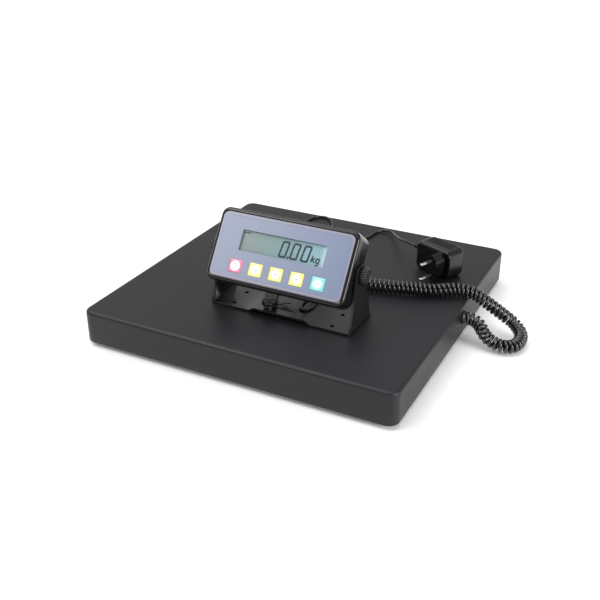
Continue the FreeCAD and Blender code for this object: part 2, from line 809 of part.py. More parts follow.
def rear_housing():
    """Moulded rear half: bevelled back, battery compartment, pivot bosses and screw posts."""
    body = new_body("rear_housing")
    width, height = "(housing_width - 2 * parting_step)", "(housing_height - 2 * parting_step)"
    outline = new_sketch(body, "XY_Plane", REAR)
    rectangle(outline, "0", "0", width, height)
    pad(body, outline, "housing_depth - front_depth")
    fillet(body, "housing_corner - parting_step", lambda edge: along(edge, (0, 0, 1)))
    bevels = new_sketch(body, "YZ_Plane")
    edge_v = f"({height} / 2)"
    polygon(bevels, [
        (f"{edge_v} - top_bevel", REAR), (f"{edge_v} + 1", f"{REAR} + top_bevel + 1"),
        (f"{edge_v} + 1", f"{REAR} - 1"), (f"{edge_v} - top_bevel", f"{REAR} - 1")])
    foot_v = "(flat_bottom + rear_slope_height)"
    foot_z = f"({REAR} + rear_slope_drop)"
    polygon(bevels, [
        ("-flat_bottom", REAR), ("-flat_bottom", f"{REAR} - 1"), (f"-{edge_v} - 1", f"{REAR} - 1"),
        (f"-{edge_v} - 1", f"{foot_z} + top_bevel"), (f"-{foot_v}", foot_z)])
    cut(body, bevels, f"{width} + 2", symmetric=True)
    shell(body, "housing_wall", lambda face: flat_at(face, "z", value(PARTING)))
    bosses = new_sketch(body, "YZ_Plane", f"{width} / 2 - housing_wall / 2")
    circle(bosses, "0", "0", "insert_radius + boss_wall")
    pad(body, bosses, "insert_length + boss_wall", reverse=True)
    bosses_left = new_sketch(body, "YZ_Plane", f"housing_wall / 2 - {width} / 2")
    circle(bosses_left, "0", "0", "insert_radius + boss_wall")
    pad(body, bosses_left, "insert_length + boss_wall")
    posts = new_sketch(body, "XY_Plane", PARTING)
    for x, y in POSTS:
        circle(posts, x, y, "post_radius")
    feature = pad(body, posts, "housing_depth - front_depth - housing_wall / 2", reverse=True)
    feature.Type = "UpToFirst"
    doc.recompute()
    box = new_sketch(body, "XY_Plane", f"{REAR} + housing_wall / 2")
    cavity = ("battery_u", "battery_v", "battery_length", "battery_width")
    rectangle(box, "battery_u", "battery_v", "battery_length + 2 * battery_wall",
              "battery_width + 2 * battery_wall")
    pad(body, box, "door_sheet + battery_depth + battery_wall - housing_wall / 2")
    inside = new_sketch(body, "XY_Plane", REAR)
    rectangle(inside, *cavity)
    cut(body, inside, "door_sheet + battery_depth", reverse=True)
    door = new_sketch(body, "XY_Plane", REAR)
    rectangle(door, "battery_u", "battery_v", "door_width + 2 * door_gap", "door_height + 2 * door_gap")
    cut(body, door, "door_sheet + door_gap / 2", reverse=True)
    pins = new_sketch(body, "YZ_Plane", "battery_u")
    circle(pins, HINGE_V, HINGE_W, "hinge_pin_radius + stud_clearance")
    cut(body, pins, "door_width + 2 * (hinge_pin_reach + door_gap)", symmetric=True)
    for side in ("-", ""):
        bore = new_sketch(body, "YZ_Plane", f"{side}({width} / 2)")
        circle(bore, "0", "0", "insert_radius")
        cut(body, bore, "insert_length", reverse=side == "-")
    heads = new_sketch(body, "XY_Plane", REAR)
    for x, y in POSTS:
        circle(heads, x, y, "counterbore_radius")
    cut(body, heads, "housing_depth - front_depth - 3 * housing_wall", reverse=True)
    shanks = new_sketch(body, "XY_Plane", REAR)
    for x, y in POSTS:
        circle(shanks, x, y, "small_screw_radius + screw_clearance")
    circle(shanks, "jack_u", "0", "plug_handle_radius")
    circle(shanks, "cord_gland_u", "0", "cord_neck_radius")
    cut(body, shanks, "housing_depth", reverse=True)
    on_indicator(body)


def housing_screws():
    """Four screws from the back, through the rear half into the front half's posts."""
    body = new_body("housing_screws", several=True)
    seat = f"({REAR} + housing_depth - front_depth - 3 * housing_wall)"
    discs(body, POSTS, seat, "2 * small_head_height", "small_head_radius", reverse=True)
    discs(body, POSTS, seat, "housing_screw_length", "small_screw_radius")
    on_indicator(body)


def overlay_and_window():
    """Printed polyester overlay in the face's recess, and the clear window behind its opening."""
    body = new_body("keypad_overlay")
    outline = new_sketch(body, "XY_Plane", f"{FACE} - overlay_sheet")
    rectangle(outline, "0", "0", "overlay_width", "overlay_height")
    pad(body, outline, "overlay_sheet")
    fillet(body, "overlay_corner", lambda edge: along(edge, (0, 0, 1)))
    openings = new_sketch(body, "XY_Plane", FACE)
    for x, y in KEY_SPOTS:
        rectangle(openings, x, y, "key_width + 2 * key_gap", "key_height + 2 * key_gap")
    rectangle(openings, "0", "window_v", "window_width", "window_height")
    cut(body, openings, "2 * overlay_sheet")
    on_indicator(body)
    window = new_body("display_window")
    pane = new_sketch(window, "XY_Plane", f"{FACE} - overlay_sheet")
    rectangle(pane, "0", "window_v", "window_width + 2 * window_rim", "window_height + 2 * window_rim")
    pad(window, pane, "window_sheet", reverse=True)
    on_indicator(window)


def display_and_board():
    """Display module on the main board, the board's key switches and its four screws."""
    board_front = f"({FACE} - board_depth)"
    module = new_body("display_module")
    glass = new_sketch(module, "XY_Plane", board_front)
    rectangle(glass, "0", "window_v", "window_width + 2 * display_border", "window_height + 2 * display_border")
    pad(module, glass, "display_depth")
    on_indicator(module)
    board = new_body("main_board")
    outline = new_sketch(board, "XY_Plane", board_front)
    rectangle(outline, "0", "0", "main_board_width", "main_board_height")
    pad(board, outline, "board_sheet", reverse=True)
    chips = new_sketch(board, "XY_Plane", f"{board_front} - board_sheet")
    rectangle(chips, "main_board_width / 5", "-main_board_height / 4", "main_board_height / 4",
              "main_board_height / 4")
    rectangle(chips, "-main_board_width / 5", "-main_board_height / 3", "main_board_height / 5",
              "main_board_height / 8")
    pad(board, chips, "board_sheet", reverse=True)
    holes = new_sketch(board, "XY_Plane", board_front)
    for x, y in BOARD_SPOTS:
        circle(holes, x, y, "small_screw_radius + screw_clearance")
    cut(board, holes, "2 * board_sheet")
    on_indicator(board)
    switches = new_body("key_switches", several=True)
    caps = new_sketch(switches, "XY_Plane", board_front)
    for x, y in KEY_SPOTS:
        rectangle(caps, x, y, "switch_size", "switch_size")
    pad(switches, caps, "switch_height")
    on_indicator(switches)
    screws = new_body("main_board_screws", several=True)
    back = f"({board_front} - board_sheet)"
    discs(screws, BOARD_SPOTS, back, "small_head_height", "small_head_radius", reverse=True)
    discs(screws, BOARD_SPOTS, back, "board_sheet + board_depth / 2", "small_screw_radius")
    on_indicator(screws)


def keys():
    """Five raised keys in the overlay's openings, each with a stem that reaches to its switch."""
    for name, (x, y) in zip(KEY_NAMES, KEY_SPOTS):
        body = new_body(f"key_{name}")
        cap = new_sketch(body, "XY_Plane", f"{FACE} + key_proud")
        rectangle(cap, x, y, "key_width", "key_height")
        pad(body, cap, "key_sheet", reverse=True)
        fillet(body, "key_sheet", lambda edge: along(edge, (0, 0, 1)))
        stem = new_sketch(body, "XY_Plane", f"{FACE} - key_stem_end")
        rectangle(stem, x, y, "key_width - 2 * key_stem_margin", "key_height - 2 * key_stem_margin")
        pad(body, stem, "key_stem_end + key_proud - key_sheet / 2")
        on_indicator(body)


def battery_pieces():
    """Battery door in the back, hinged on its upper edge, and the snap clip for one block cell."""
    door = new_body("battery_door")
    leaf = new_sketch(door, "XY_Plane", REAR)
    rectangle(leaf, "battery_u", "battery_v", "door_width", "door_height")
    pad(door, leaf, "door_sheet")
    grip = new_sketch(door, "XY_Plane", REAR)
    rectangle(grip, "battery_u", "battery_v - door_height / 3", "door_width / 4", "door_sheet")
    cut(door, grip, "door_sheet / 2", reverse=True)
    top = value("battery_v + door_height / 2")
    fillet(door, "0.47 * door_sheet", lambda edge: along(edge, (1, 0, 0)) and flat_at(edge, "y", top))
    pins = new_sketch(door, "YZ_Plane", "battery_u")
    circle(pins, HINGE_V, HINGE_W, "hinge_pin_radius")
    pad(door, pins, "door_width + 2 * hinge_pin_reach", symmetric=True)
    on_indicator(door)
    clip = new_body("battery_clip")
    end = "battery_u - battery_length / 2"
    middle = f"{REAR} + door_sheet + battery_depth / 2"
    plate = new_sketch(clip, "YZ_Plane", end)
    rectangle(plate, "battery_v", middle, "battery_width - 2", "battery_depth - 3")
    pad(clip, plate, "clip_sheet")
    studs = new_sketch(clip, "YZ_Plane", f"{end} + clip_sheet")
    for side in ("-", "+"):
        circle(studs, f"battery_v {side} clip_stud_pitch / 2", middle, "clip_stud_radius")
    pad(clip, studs, "clip_sheet")
    on_indicator(clip)


def power_jack():
    """Barrel socket behind the rear wall, and the lead's plug in it."""
    jack = new_body("power_jack")
    block = new_sketch(jack, "XY_Plane", f"{REAR} + housing_wall")
    rectangle(block, "jack_u", "0", "jack_size", "jack_size")
    pad(jack, block, "jack_length")
    bore = new_sketch(jack, "XY_Plane", f"{REAR} + housing_wall")
    circle(bore, "jack_u", "0", "jack_bore")
    circle(bore, "jack_u", "0", "jack_pin")
    cut(jack, bore, "jack_length - housing_wall", reverse=True)
    on_indicator(jack)
    plug = new_body("barrel_plug")
    half = new_sketch(plug, "XZ_Plane")
    root = f"({REAR} + housing_wall)"
    shoulder = f"({root} - plug_handle_length)"
    tip = f"({shoulder} - plug_relief_length)"
    bore_radius = "jack_pin + stud_clearance"
    polygon(half, [
        (bore_radius, f"{root} + plug_barrel_length"), ("plug_barrel", f"{root} + plug_barrel_length"),
        ("plug_barrel", root), ("plug_handle_radius - 1", root), ("plug_handle_radius - 0.2", f"{root} - 1"),
        ("plug_handle_radius - 0.2", shoulder), ("1.6 * lead_radius", shoulder),
        ("1.25 * lead_radius", tip), ("0", tip), ("0", root), (bore_radius, root)])
    revolve(plug, half)
    place(plug, "stand_x + jack_u", "pivot_y", "platform_top + pivot_rise", (1, 0, 0), "90 - lean")


def indicator_gland():
    """Flanged strain relief where the curly cord leaves the indicator's back."""
    body = new_body("indicator_gland")
    half = new_sketch(body, "XZ_Plane")
    flange = f"({REAR} - cord_flange_depth)"
    tip = f"({flange} - cord_relief_length)"
    polygon(half, [
        ("0", f"{REAR} + 2 * housing_wall"), ("cord_neck_radius", f"{REAR} + 2 * housing_wall"),
        ("cord_neck_radius", REAR), ("cord_flange_radius", REAR),
        ("cord_flange_radius", f"{flange} + 0.5"), ("cord_flange_radius - 1", flange),
        ("cord_neck_radius + 1", flange), ("cord_relief_tip", tip), ("0", tip)])
    revolve(body, half)
    place(body, "stand_x + cord_gland_u", "pivot_y", "platform_top + pivot_rise", (1, 0, 0), "90 - lean")


# ---------------------------------------------------------------- mains adapter

ADAPTER_MIDDLE = "(adapter_height / 2)"


def adapter():
    """Two glued shells with a plug nose, two pins in sleeves, a small board and a strain relief."""
    split = "(adapter_face_depth - adapter_depth / 2)"
    shells = (("adapter_face_shell", "-adapter_depth / 2", "adapter_face_depth"),
              ("adapter_back_shell", split, "adapter_depth - adapter_face_depth"))
    for label, near, thickness in shells:
        body = new_body(label)
        block = new_sketch(body, "XZ_Plane", f"-({near})")
        rectangle(block, "0", ADAPTER_MIDDLE, "adapter_length", "adapter_height")
        pad(body, block, thickness, reverse=True)
        face = label == "adapter_face_shell"
        mouth = value(split)
        outer = value("-adapter_depth / 2" if face else "adapter_depth / 2")
        fillet(body, "adapter_round", lambda edge: along(edge, (0, 1, 0)))
        fillet(body, "adapter_edge", lambda edge: flat_at(edge, "y", outer))
        shell(body, "adapter_wall", lambda item: flat_at(item, "y", mouth))
        if face:
            nose = new_sketch(body, "XZ_Plane", "adapter_depth / 2 - adapter_wall / 2")
            half_x, half_z = "nose_width / 2", "nose_height / 2"
            middle = ADAPTER_MIDDLE
            polygon(nose, [
                (f"nose_x - {half_x}", f"{middle} - {half_z} + nose_chamfer"),
                (f"nose_x - {half_x} + nose_chamfer", f"{middle} - {half_z}"),
                (f"nose_x + {half_x} - nose_chamfer", f"{middle} - {half_z}"),
                (f"nose_x + {half_x}", f"{middle} - {half_z} + nose_chamfer"),
                (f"nose_x + {half_x}", f"{middle} + {half_z} - nose_chamfer"),
                (f"nose_x + {half_x} - nose_chamfer", f"{middle} + {half_z}"),
                (f"nose_x - {half_x} + nose_chamfer", f"{middle} + {half_z}"),
                (f"nose_x - {half_x}", f"{middle} + {half_z} - nose_chamfer")])
            pad(body, nose, "nose_depth + adapter_wall / 2")
            sockets = new_sketch(body, "XZ_Plane", "adapter_depth / 2 + nose_depth")
            for side in ("-", "+"):
                circle(sockets, "nose_x", f"{middle} {side} pin_pitch / 2", "pin_radius")
            cut(body, sockets, "nose_depth / 2")
        else:
            hole = new_sketch(body, "YZ_Plane", "-adapter_length / 2")
            circle(hole, f"{split} + (adapter_depth - adapter_face_depth) / 2", ADAPTER_MIDDLE, "relief_tip")
            cut(body, hole, "2 * adapter_wall", symmetric=True)
        on_adapter(body)
    front = "(adapter_depth / 2 + nose_depth)"
    pins = new_body("adapter_pins", several=True)
    bars = new_sketch(pins, "XZ_Plane", f"{front} + pin_length")
    sleeves = new_body("adapter_pin_sleeves", several=True)
    tubes = new_sketch(sleeves, "XZ_Plane", front)
    for side in ("-", "+"):
        height = f"{ADAPTER_MIDDLE} {side} pin_pitch / 2"
        circle(bars, "nose_x", height, "pin_radius - sleeve_wall")
        circle(tubes, "nose_x", height, "pin_radius")
        circle(tubes, "nose_x", height, "pin_radius - sleeve_wall")
    pad(pins, bars, "pin_length + nose_depth / 2 - 0.5", reverse=True)
    pad(sleeves, tubes, "sleeve_length")
    tips = value(f"-{front} - pin_length")
    fillet(pins, "pin_radius / 2", lambda edge: flat_at(edge, "y", tips))
    on_adapter(pins)
    on_adapter(sleeves)
    board = new_body("adapter_board")
    inset = "(adapter_wall + 1)"
    card = new_sketch(board, "XZ_Plane", f"-{split}")
    rectangle(card, "0", ADAPTER_MIDDLE, f"adapter_length - 2 * {inset} - 4", f"adapter_height - 2 * {inset}")
    pad(board, card, "board_sheet", reverse=True)
    coil = new_sketch(board, "XZ_Plane", f"-{split} - board_sheet")
    rectangle(coil, "adapter_length / 8", ADAPTER_MIDDLE, "adapter_height / 2", "adapter_height / 2")
    pad(board, coil, "adapter_depth - adapter_face_depth - board_sheet - adapter_wall - 2", reverse=True)
    on_adapter(board)
    relief = new_body("adapter_relief")
    half = new_sketch(relief, "XZ_Plane")
    polygon(half, [
        ("2 * adapter_wall", "0"), ("2 * adapter_wall", "relief_tip"), ("0", "relief_tip"),
        ("0", "relief_root"), ("-relief_length", "relief_tip"), ("-relief_length", "0")])
    revolve(relief, half, "H_Axis")
    centre = f"({split} + (adapter_depth - adapter_face_depth) / 2)"
    turn = "adapter_turn"
    place(relief, f"adapter_x - adapter_length / 2 * cos({turn}) - {centre} * sin({turn})",
          f"adapter_y - adapter_length / 2 * sin({turn}) + {centre} * cos({turn})",
          f"platform_top + adapter_lift + {ADAPTER_MIDDLE}", (0, 0, 1), turn)


# ---------------------------------------------------------------- cords

# Routes are lists of chosen points. A tube follows them in straight runs joined by tangent arcs.
# Each end stays on its fitting, and the points between share out any change of the two ends.
# Curly cord: from behind the indicator down to the platform, over its right edge, and back in a
# bend along the floor to the gland in the platform's side.
COIL_ROUTE = [
    (37.6, -47.56, 82.45), (37.6, -27.5, 68.6), (43, -11, 57.5), (57, -0.5, 52.4), (79, 2.2, 52.2),
    (103.5, 7.1, 52.1), (128, 13.8, 52.7), (153.3, 20.8, 52.1), (174.2, 34.4, 53.9),
    (195.1, 38.7, 51.2), (215.2, 40.9, 38.5), (230.1, 47.7, 25.9), (243.7, 50.2, 16.6),
    (255.2, 40.1, 10.1), (256.3, 23.8, 8.2), (251.3, 9.9, 8.2), (238.6, 2.7, 10.4),
    (220.8, 6.8, 15.5), (210.7, 17.1, 24.1), (201.8, 20, 27), (194, 20, 27)]
# The point where it nears the platform's edge.
COIL_EDGE = 8

# Adapter's lead: from the adapter's strain relief back over the platform in two waves, then
# forward to the hank that lies on the stand.
LEAD_ROUTE = [
    (96.7, 110.85, 62.1), (83.37, 116.5, 62.1), (69.5, 129.5, 57.6), (57, 147, 52.8),
    (48.5, 159.5, 49.8), (41.6, 168.8, 48), (33, 173, 46.7), (24.4, 169, 45.9), (20.6, 159, 45.8),
    (19.5, 142, 45.8), (11, 124, 45.8), (-7, 114, 45.8), (-25, 121, 45.8), (-34, 140, 45.8),
    (-41, 159, 45.8), (-50, 173.5, 45.8), (-61, 181.8, 45.8), (-72, 178.5, 45.8),
    (-77.5, 168, 45.8), (-80, 149, 45.8), (-80.5, 122, 45.8), (-74, 95, 45.8), (-57, 72, 45.8),
    (-36, 52, 45.8), (-20, 31, 45.8), (-14, 6, 45.8), (-16.5, -17, 46.8), (-21.5, -33, 51),
    (-25.19, -52.18, 55.5), (-19.1, -65.24, 55.5)]

# Last stretch of the lead: out of the hank, forward in a small hook under the indicator, and
# back and up to the barrel plug.
PLUG_ROUTE = [
    (-11.39, -61.65, 55.5), (-17, -49.62, 55.5), (-12, -38, 54.6), (4, -33, 53.6), (21, -32.5, 53.2),
    (33, -42, 52.6), (34, -56, 52.4), (31.5, -70, 52.4), (32.5, -82.5, 52.4), (37.5, -90.5, 52.4), (44.5, -88, 52.4),
    (46.5, -77, 52.8), (44.5, -64, 55), (39, -52, 57.5), (32, -41.5, 59.5), (25, -32, 65),
    (18.6, -35.86, 74.4), (18.6, -45.75, 81.2)]

ARC_SHARE = 0.45


def rounded_path(points, name):
    """A wire of straight runs and tangent arcs through the route, and its length."""
    corners = [Vector(*point) for point in points]
    edges = []
    start = corners[0]
    length = 0
    radii = []
    for before, corner, after in zip(corners, corners[1:], corners[2:]):
        back = (before - corner).normalize()
        ahead = (after - corner).normalize()
        half_turn = (math.pi - back.getAngle(ahead)) / 2
        run = min((before - corner).Length, (after - corner).Length)
        reach = ARC_SHARE * run
        radius = reach / math.tan(half_turn)
        radii.append(radius)
        inward = (back + ahead).normalize()
        middle = corner + inward * (radius / math.cos(half_turn) - radius)
        first, last = corner + back * reach, corner + ahead * reach
        edges.append(Part.LineSegment(start, first).toShape())
        edges.append(Part.Arc(first, middle, last).toShape())
        length += (first - start).Length + radius * 2 * half_turn
        start = last
    edges.append(Part.LineSegment(start, corners[-1]).toShape())
    length += (corners[-1] - start).Length
    rounded = ", ".join(f"{radius:.0f}" for radius in radii)
    print(f"{name}: length {length:.0f} mm, bend radii {rounded}")
    return Part.Wire(edges), length


def tube(points, radius, name):
    """A round bar along a route, its volume compared with its section times its length."""
    path, length = rounded_path(points, name)
    start = Vector(*points[0])
    run = Vector(*points[1]) - start
    profile = Part.Wire([Part.Circle(start, run, radius).toShape()])
    solid = path.makePipeShell([profile], True, False)
    wanted = math.pi * radius ** 2 * length
    if abs(solid.Volume - wanted) > 0.01 * wanted:
        raise RuntimeError(f"{name} has volume {solid.Volume:.0f}, not {wanted:.0f}")
    return solid


def free_shape(label, shape):
    """A sub-part whose shape is set whole, with its place afterwards."""
    item = doc.addObject("Part::Feature", label)
    item.Label = label
    item.Shape = shape
    item.Placement = FreeCAD.Placement()
    parts.append(item)


def behind_indicator(across, distance):
    """A point behind the indicator, on the line of one of its fittings."""
    lean = math.radians(dim("lean"))
    return Vector(dim("stand_x") + across, dim("pivot_y") + distance * math.cos(lean),
                  value("platform_top + pivot_rise") - distance * math.sin(lean))


def carried(points, first, last, settled):
    """The route with its ends on their fittings. Points from settled on shift with the last one."""
    route = [Vector(*point) for point in points]
    start_shift, end_shift = first - route[0], last - route[-1]
    moved = []
    for number, point in enumerate(route):
        share = min(1, number / settled)
        moved.append(point + start_shift * (1 - share) + end_shift * share)
    return moved


def hank_mouth(side):
    """The point on the hank's rear end where one of its two leads comes out."""
    turn = math.radians(dim("hank_turn"))
    across, back = side * dim("hank_exit"), value("hank_length / 2")
    level = value("platform_top + middle_rise + stand_sheet + hank_lift + hank_height / 2")
    return Vector(dim("hank_x") + across * math.cos(turn) - back * math.sin(turn),
                  dim("hank_y") + across * math.sin(turn) + back * math.cos(turn), level)


def cords():
    """The free cords' plain solids."""
    coil_start = value(f"cord_flange_depth + cord_relief_length + coil_start_gap - {REAR}")
    mouth = Vector(value("platform_width / 2 + coil_end_gap"), dim("gland_y"), value(GLAND_Z))
    coil = carried(COIL_ROUTE, behind_indicator(dim("cord_gland_u"), coil_start), mouth, COIL_EDGE)
    free_shape("curly_cord", tube(coil, dim("coil_radius"), "curly cord"))
    turn = math.radians(dim("adapter_turn"))
    reach = value("adapter_length / 2 + relief_length")
    side = value("adapter_face_depth / 2")
    relief = Vector(dim("adapter_x") - reach * math.cos(turn) - side * math.sin(turn),
                    dim("adapter_y") - reach * math.sin(turn) + side * math.cos(turn),
                    value(f"platform_top + adapter_lift + {ADAPTER_MIDDLE}"))
    lead = carried(LEAD_ROUTE, relief, hank_mouth(-1), len(LEAD_ROUTE) - 1)
    free_shape("adapter_lead", tube(lead, dim("lead_radius"), "adapter lead"))
    plug_start = value(f"plug_handle_length + plug_relief_length + plug_start_gap - housing_wall - {REAR}")
    socket = behind_indicator(dim("jack_u"), plug_start)
    plug = carried(PLUG_ROUTE, hank_mouth(1), socket, len(PLUG_ROUTE) - 1)
    free_shape("plug_lead", tube(plug, dim("lead_radius"), "plug lead"))


def lead_hank():
    """Spare lead folded into a flat hank on the stand's raised middle, with a twist tie round it."""
    seat = "(platform_top + middle_rise + stand_sheet + hank_lift)"
    hank = new_body("lead_hank")
    outline = new_sketch(hank, "XY_Plane", seat)
    rectangle(outline, "0", "0", "hank_width", "hank_length")
    pad(hank, outline, "hank_height")
    fillet(hank, "hank_round", lambda edge: along(edge, (0, 0, 1)) or along(edge, (0, 1, 0)))
    tie = new_body("hank_tie")
    middle = f"({seat} + hank_height / 2)"
    band = new_sketch(tie, "XZ_Plane", "-tie_place")
    rectangle(band, "0", middle, "hank_width + 2 * tie_sheet", "hank_height + 1.6 * tie_sheet")
    rectangle(band, "0", middle, "hank_width", "hank_height")
    pad(tie, band, "tie_width", symmetric=True)
    side = "(hank_width / 2 + tie_sheet / 2)"
    ends = new_sketch(tie, "XY_Plane", seat)
    polygon(ends, [
        (side, "tie_place - tie_end_width / 2"),
        (f"{side} + 1.4 * tie_end_reach", "tie_place - 5.2 * tie_end_width"),
        (f"{side} + 1.4 * tie_end_reach + 1", "tie_place - 4.4 * tie_end_width"),
        (f"{side} + tie_end_reach / 2", "tie_place - tie_end_width / 4"),
        (f"{side} + tie_end_reach", "tie_place + tie_end_width / 2"),
        (f"{side} + tie_end_reach - 1", "tie_place + 1.3 * tie_end_width"),
        (side, "tie_place + tie_end_width / 2")])
    pad(tie, ends, "tie_sheet")
    for thing in (hank, tie):
        place(thing, "hank_x", "hank_y", "0", (0, 0, 1), "hank_turn")


def platform_wiring():
    """Cables clipped inside the platform: one from each cell to the board, and the cord's end."""
    low = value(f"{PLATE_TOP} + wire_rise")
    board = value(f"{PLATE_TOP} + sum_spacer_height")
    cell = value(f"{CELL_TOP} - cell_thickness")
    x, y = value(f"{FOOT_X} - cell_wire_inset"), value(f"{FOOT_Y} - cell_wire_inset")
    end_x, end_y = value("sum_board_length / 4"), value("sum_board_width / 6")
    solids = []
    for across, deep in CORNERS.values():
        route = [(x, y, cell), (x, y, low), (0.85 * x, 0.8 * y, low), (0.5 * x, 0.1 * y, low),
                 (end_x, end_y, low), (end_x, end_y, board)]
        mirrored = [(across * px, deep * py, pz) for px, py, pz in route]
        solids.append(tube(mirrored, dim("wire_radius"), "cell cable"))
    wall = value("platform_width / 2")
    gland_y, gland_z = dim("gland_y"), value(GLAND_Z)
    floor_z = value(f"{PLATE_TOP} + cord_wire_radius + lead_bore_gap")
    edge_x = value("sum_board_length / 2")
    board_z = value(f"{PLATE_TOP} + sum_spacer_height + board_sheet / 2")
    route = [(wall, gland_y, gland_z), (0.9 * wall, gland_y, gland_z),
             (0.83 * wall, gland_y, floor_z + 2), (0.72 * wall, 0.95 * gland_y, floor_z),
             (0.5 * wall, 0.6 * gland_y, floor_z), (0.3 * wall, 0, floor_z),
             (1.5 * edge_x, 0, board_z), (edge_x, 0, board_z)]
    solids.append(tube(route, dim("cord_wire_radius"), "cord's end"))
    free_shape("platform_wiring", Part.makeCompound(solids))


platform_cover()
platform_rails()
bottom_plate()
plate_fasteners()
load_cells()
cell_brackets()
feet()
summing_board()
platform_gland()
stand_bracket()
pivot_hardware()
front_housing()
rear_housing()
housing_screws()
overlay_and_window()
display_and_board()
keys()
battery_pieces()
power_jack()
indicator_gland()
adapter()
platform_wiring()
cords()
lead_hank()


def check_and_write():
    """Refuse any failed object or bad shape, then write one file for each sub-part."""
    doc.recompute()
    for item in doc.Objects:
        if "Invalid" in item.State or "Error" in item.State:
            raise RuntimeError(f"{item.Label} failed: {item.State}")
    labels = [item.Label for item in parts]
    if len(set(labels)) != len(labels):
        raise RuntimeError("two sub-parts share a label")
    for item in parts:
        if item.Shape.isNull() or not item.Shape.isValid() or not item.Shape.Solids:
            raise RuntimeError(f"{item.Label} has no valid solid")
    os.makedirs("parts", exist_ok=True)
    for item in parts:
        item.Shape.exportStep(f"parts/{item.Label}.step")
    print(f"{len(parts)} sub-parts written")


check_and_write()
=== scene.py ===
import bmesh
import bpy
import math
from mathutils import Matrix, Vector
from mathutils.geometry import tessellate_polygon


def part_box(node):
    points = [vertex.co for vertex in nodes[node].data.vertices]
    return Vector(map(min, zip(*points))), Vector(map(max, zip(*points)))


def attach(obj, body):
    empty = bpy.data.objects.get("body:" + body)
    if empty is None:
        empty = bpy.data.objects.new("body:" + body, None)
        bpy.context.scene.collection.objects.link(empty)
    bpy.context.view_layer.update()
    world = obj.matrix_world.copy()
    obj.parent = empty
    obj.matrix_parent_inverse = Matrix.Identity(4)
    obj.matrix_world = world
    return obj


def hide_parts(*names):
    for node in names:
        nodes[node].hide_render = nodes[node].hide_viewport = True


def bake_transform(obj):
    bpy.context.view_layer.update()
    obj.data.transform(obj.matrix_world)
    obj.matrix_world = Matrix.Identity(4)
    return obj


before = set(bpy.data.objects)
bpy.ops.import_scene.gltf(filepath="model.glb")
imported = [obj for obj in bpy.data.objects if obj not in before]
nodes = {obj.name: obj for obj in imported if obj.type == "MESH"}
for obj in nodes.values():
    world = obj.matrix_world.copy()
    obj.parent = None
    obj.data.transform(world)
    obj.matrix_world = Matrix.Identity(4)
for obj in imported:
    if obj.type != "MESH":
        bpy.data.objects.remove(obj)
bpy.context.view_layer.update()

# ------------------------------------------------------------ viewpoint
# A standing customer's view, from the front right corner and above. The lens is long enough to
# keep the platform's sides nearly parallel.
camera = bpy.data.objects.new("camera", bpy.data.cameras.new("camera"))
bpy.context.scene.collection.objects.link(camera)
camera.location = (0.42136, -0.85073, 0.50922)
sight = Vector((-0.0157, 0.0105, 0.005)) - camera.location
camera.rotation_euler = sight.to_track_quat("-Z", "Y").to_euler()
camera.data.lens = 52.36
camera.data.sensor_width = 36
bpy.context.scene.camera = camera

# ------------------------------------------------------------ curly cord
# Round black cable wound into a close spring, so that the indicator can be lifted off its stand.
# Soft PVC over four cores. One end is clamped in a gland behind the indicator, and the other in
# a gland in the platform's right side.
COIL_ROUTE = [
    (0.0376, -0.04756, 0.08245), (0.0376, -0.0275, 0.0686), (0.043, -0.011, 0.0575),
    (0.057, -0.0005, 0.0524), (0.079, 0.0022, 0.0522), (0.1035, 0.0071, 0.0521),
    (0.128, 0.0138, 0.0527), (0.1533, 0.0208, 0.0521), (0.1742, 0.0344, 0.0539),
    (0.1951, 0.0387, 0.0512), (0.2152, 0.0409, 0.0385), (0.2301, 0.0477, 0.0259),
    (0.2437, 0.0502, 0.0166), (0.2552, 0.0401, 0.0101), (0.2563, 0.0238, 0.0082),
    (0.2513, 0.0099, 0.0082), (0.2386, 0.0027, 0.0104), (0.2208, 0.0068, 0.0155),
    (0.2107, 0.0171, 0.0241), (0.2018, 0.02, 0.027), (0.194, 0.02, 0.027)]


def rope_curve(name, points):
    """One smooth open line through the cord's chosen points."""
    curve = bpy.data.curves.new(name, "CURVE")
    curve.dimensions = "3D"
    curve.resolution_u = 10
    curve.use_fill_caps = True
    line = curve.splines.new("NURBS")
    line.points.add(len(points) - 1)
    for spot, point in zip(line.points, points):
        spot.co = (*point, 1)
    line.order_u = 3
    line.use_endpoint_u = True
    piece = bpy.data.objects.new(name, curve)
    bpy.context.scene.collection.objects.link(piece)
    return piece


def read_line(piece):
    """The points along a curve that has no thickness yet."""
    wire = bpy.data.meshes.new_from_object(piece)
    points = [vertex.co.copy() for vertex in wire.vertices]
    bpy.data.meshes.remove(wire)
    return points


def line_frames(points):
    """Running length, point and two crosswise directions that turn as little as they can."""
    ahead = (points[1] - points[0]).normalized()
    side = ahead.orthogonal().normalized()
    length, frames = 0, []
    for number, point in enumerate(points):
        near, far = points[max(number - 1, 0)], points[min(number + 1, len(points) - 1)]
        turned = (far - near).normalized()
        side = ahead.rotation_difference(turned) @ side
        side = (side - turned * side.dot(turned)).normalized()
        ahead = turned
        if number:
            length += (point - points[number - 1]).length
        frames.append((length, point, side, turned.cross(side)))
    return frames


def frame_at(frames, length):
    """Point and crosswise directions at a running length."""
    low, high = 0, len(frames) - 1
    while high - low > 1:
        middle = (low + high) // 2
        low, high = (middle, high) if frames[middle][0] <= length else (low, middle)
    first, last = frames[low], frames[high]
    share = min(max((length - first[0]) / max(last[0] - first[0], 1e-9), 0), 1)
    return [a.lerp(b, share) for a, b in zip(first[1:], last[1:])]


def new_finish(name):
    """A new finish: its material, its nodes, its shader and the piece's own coordinates."""
    material = bpy.data.materials.new(name)
    material.use_nodes = True
    tree = material.node_tree
    return material, tree, tree.nodes["Principled BSDF"], tree.nodes.new("ShaderNodeTexCoord")


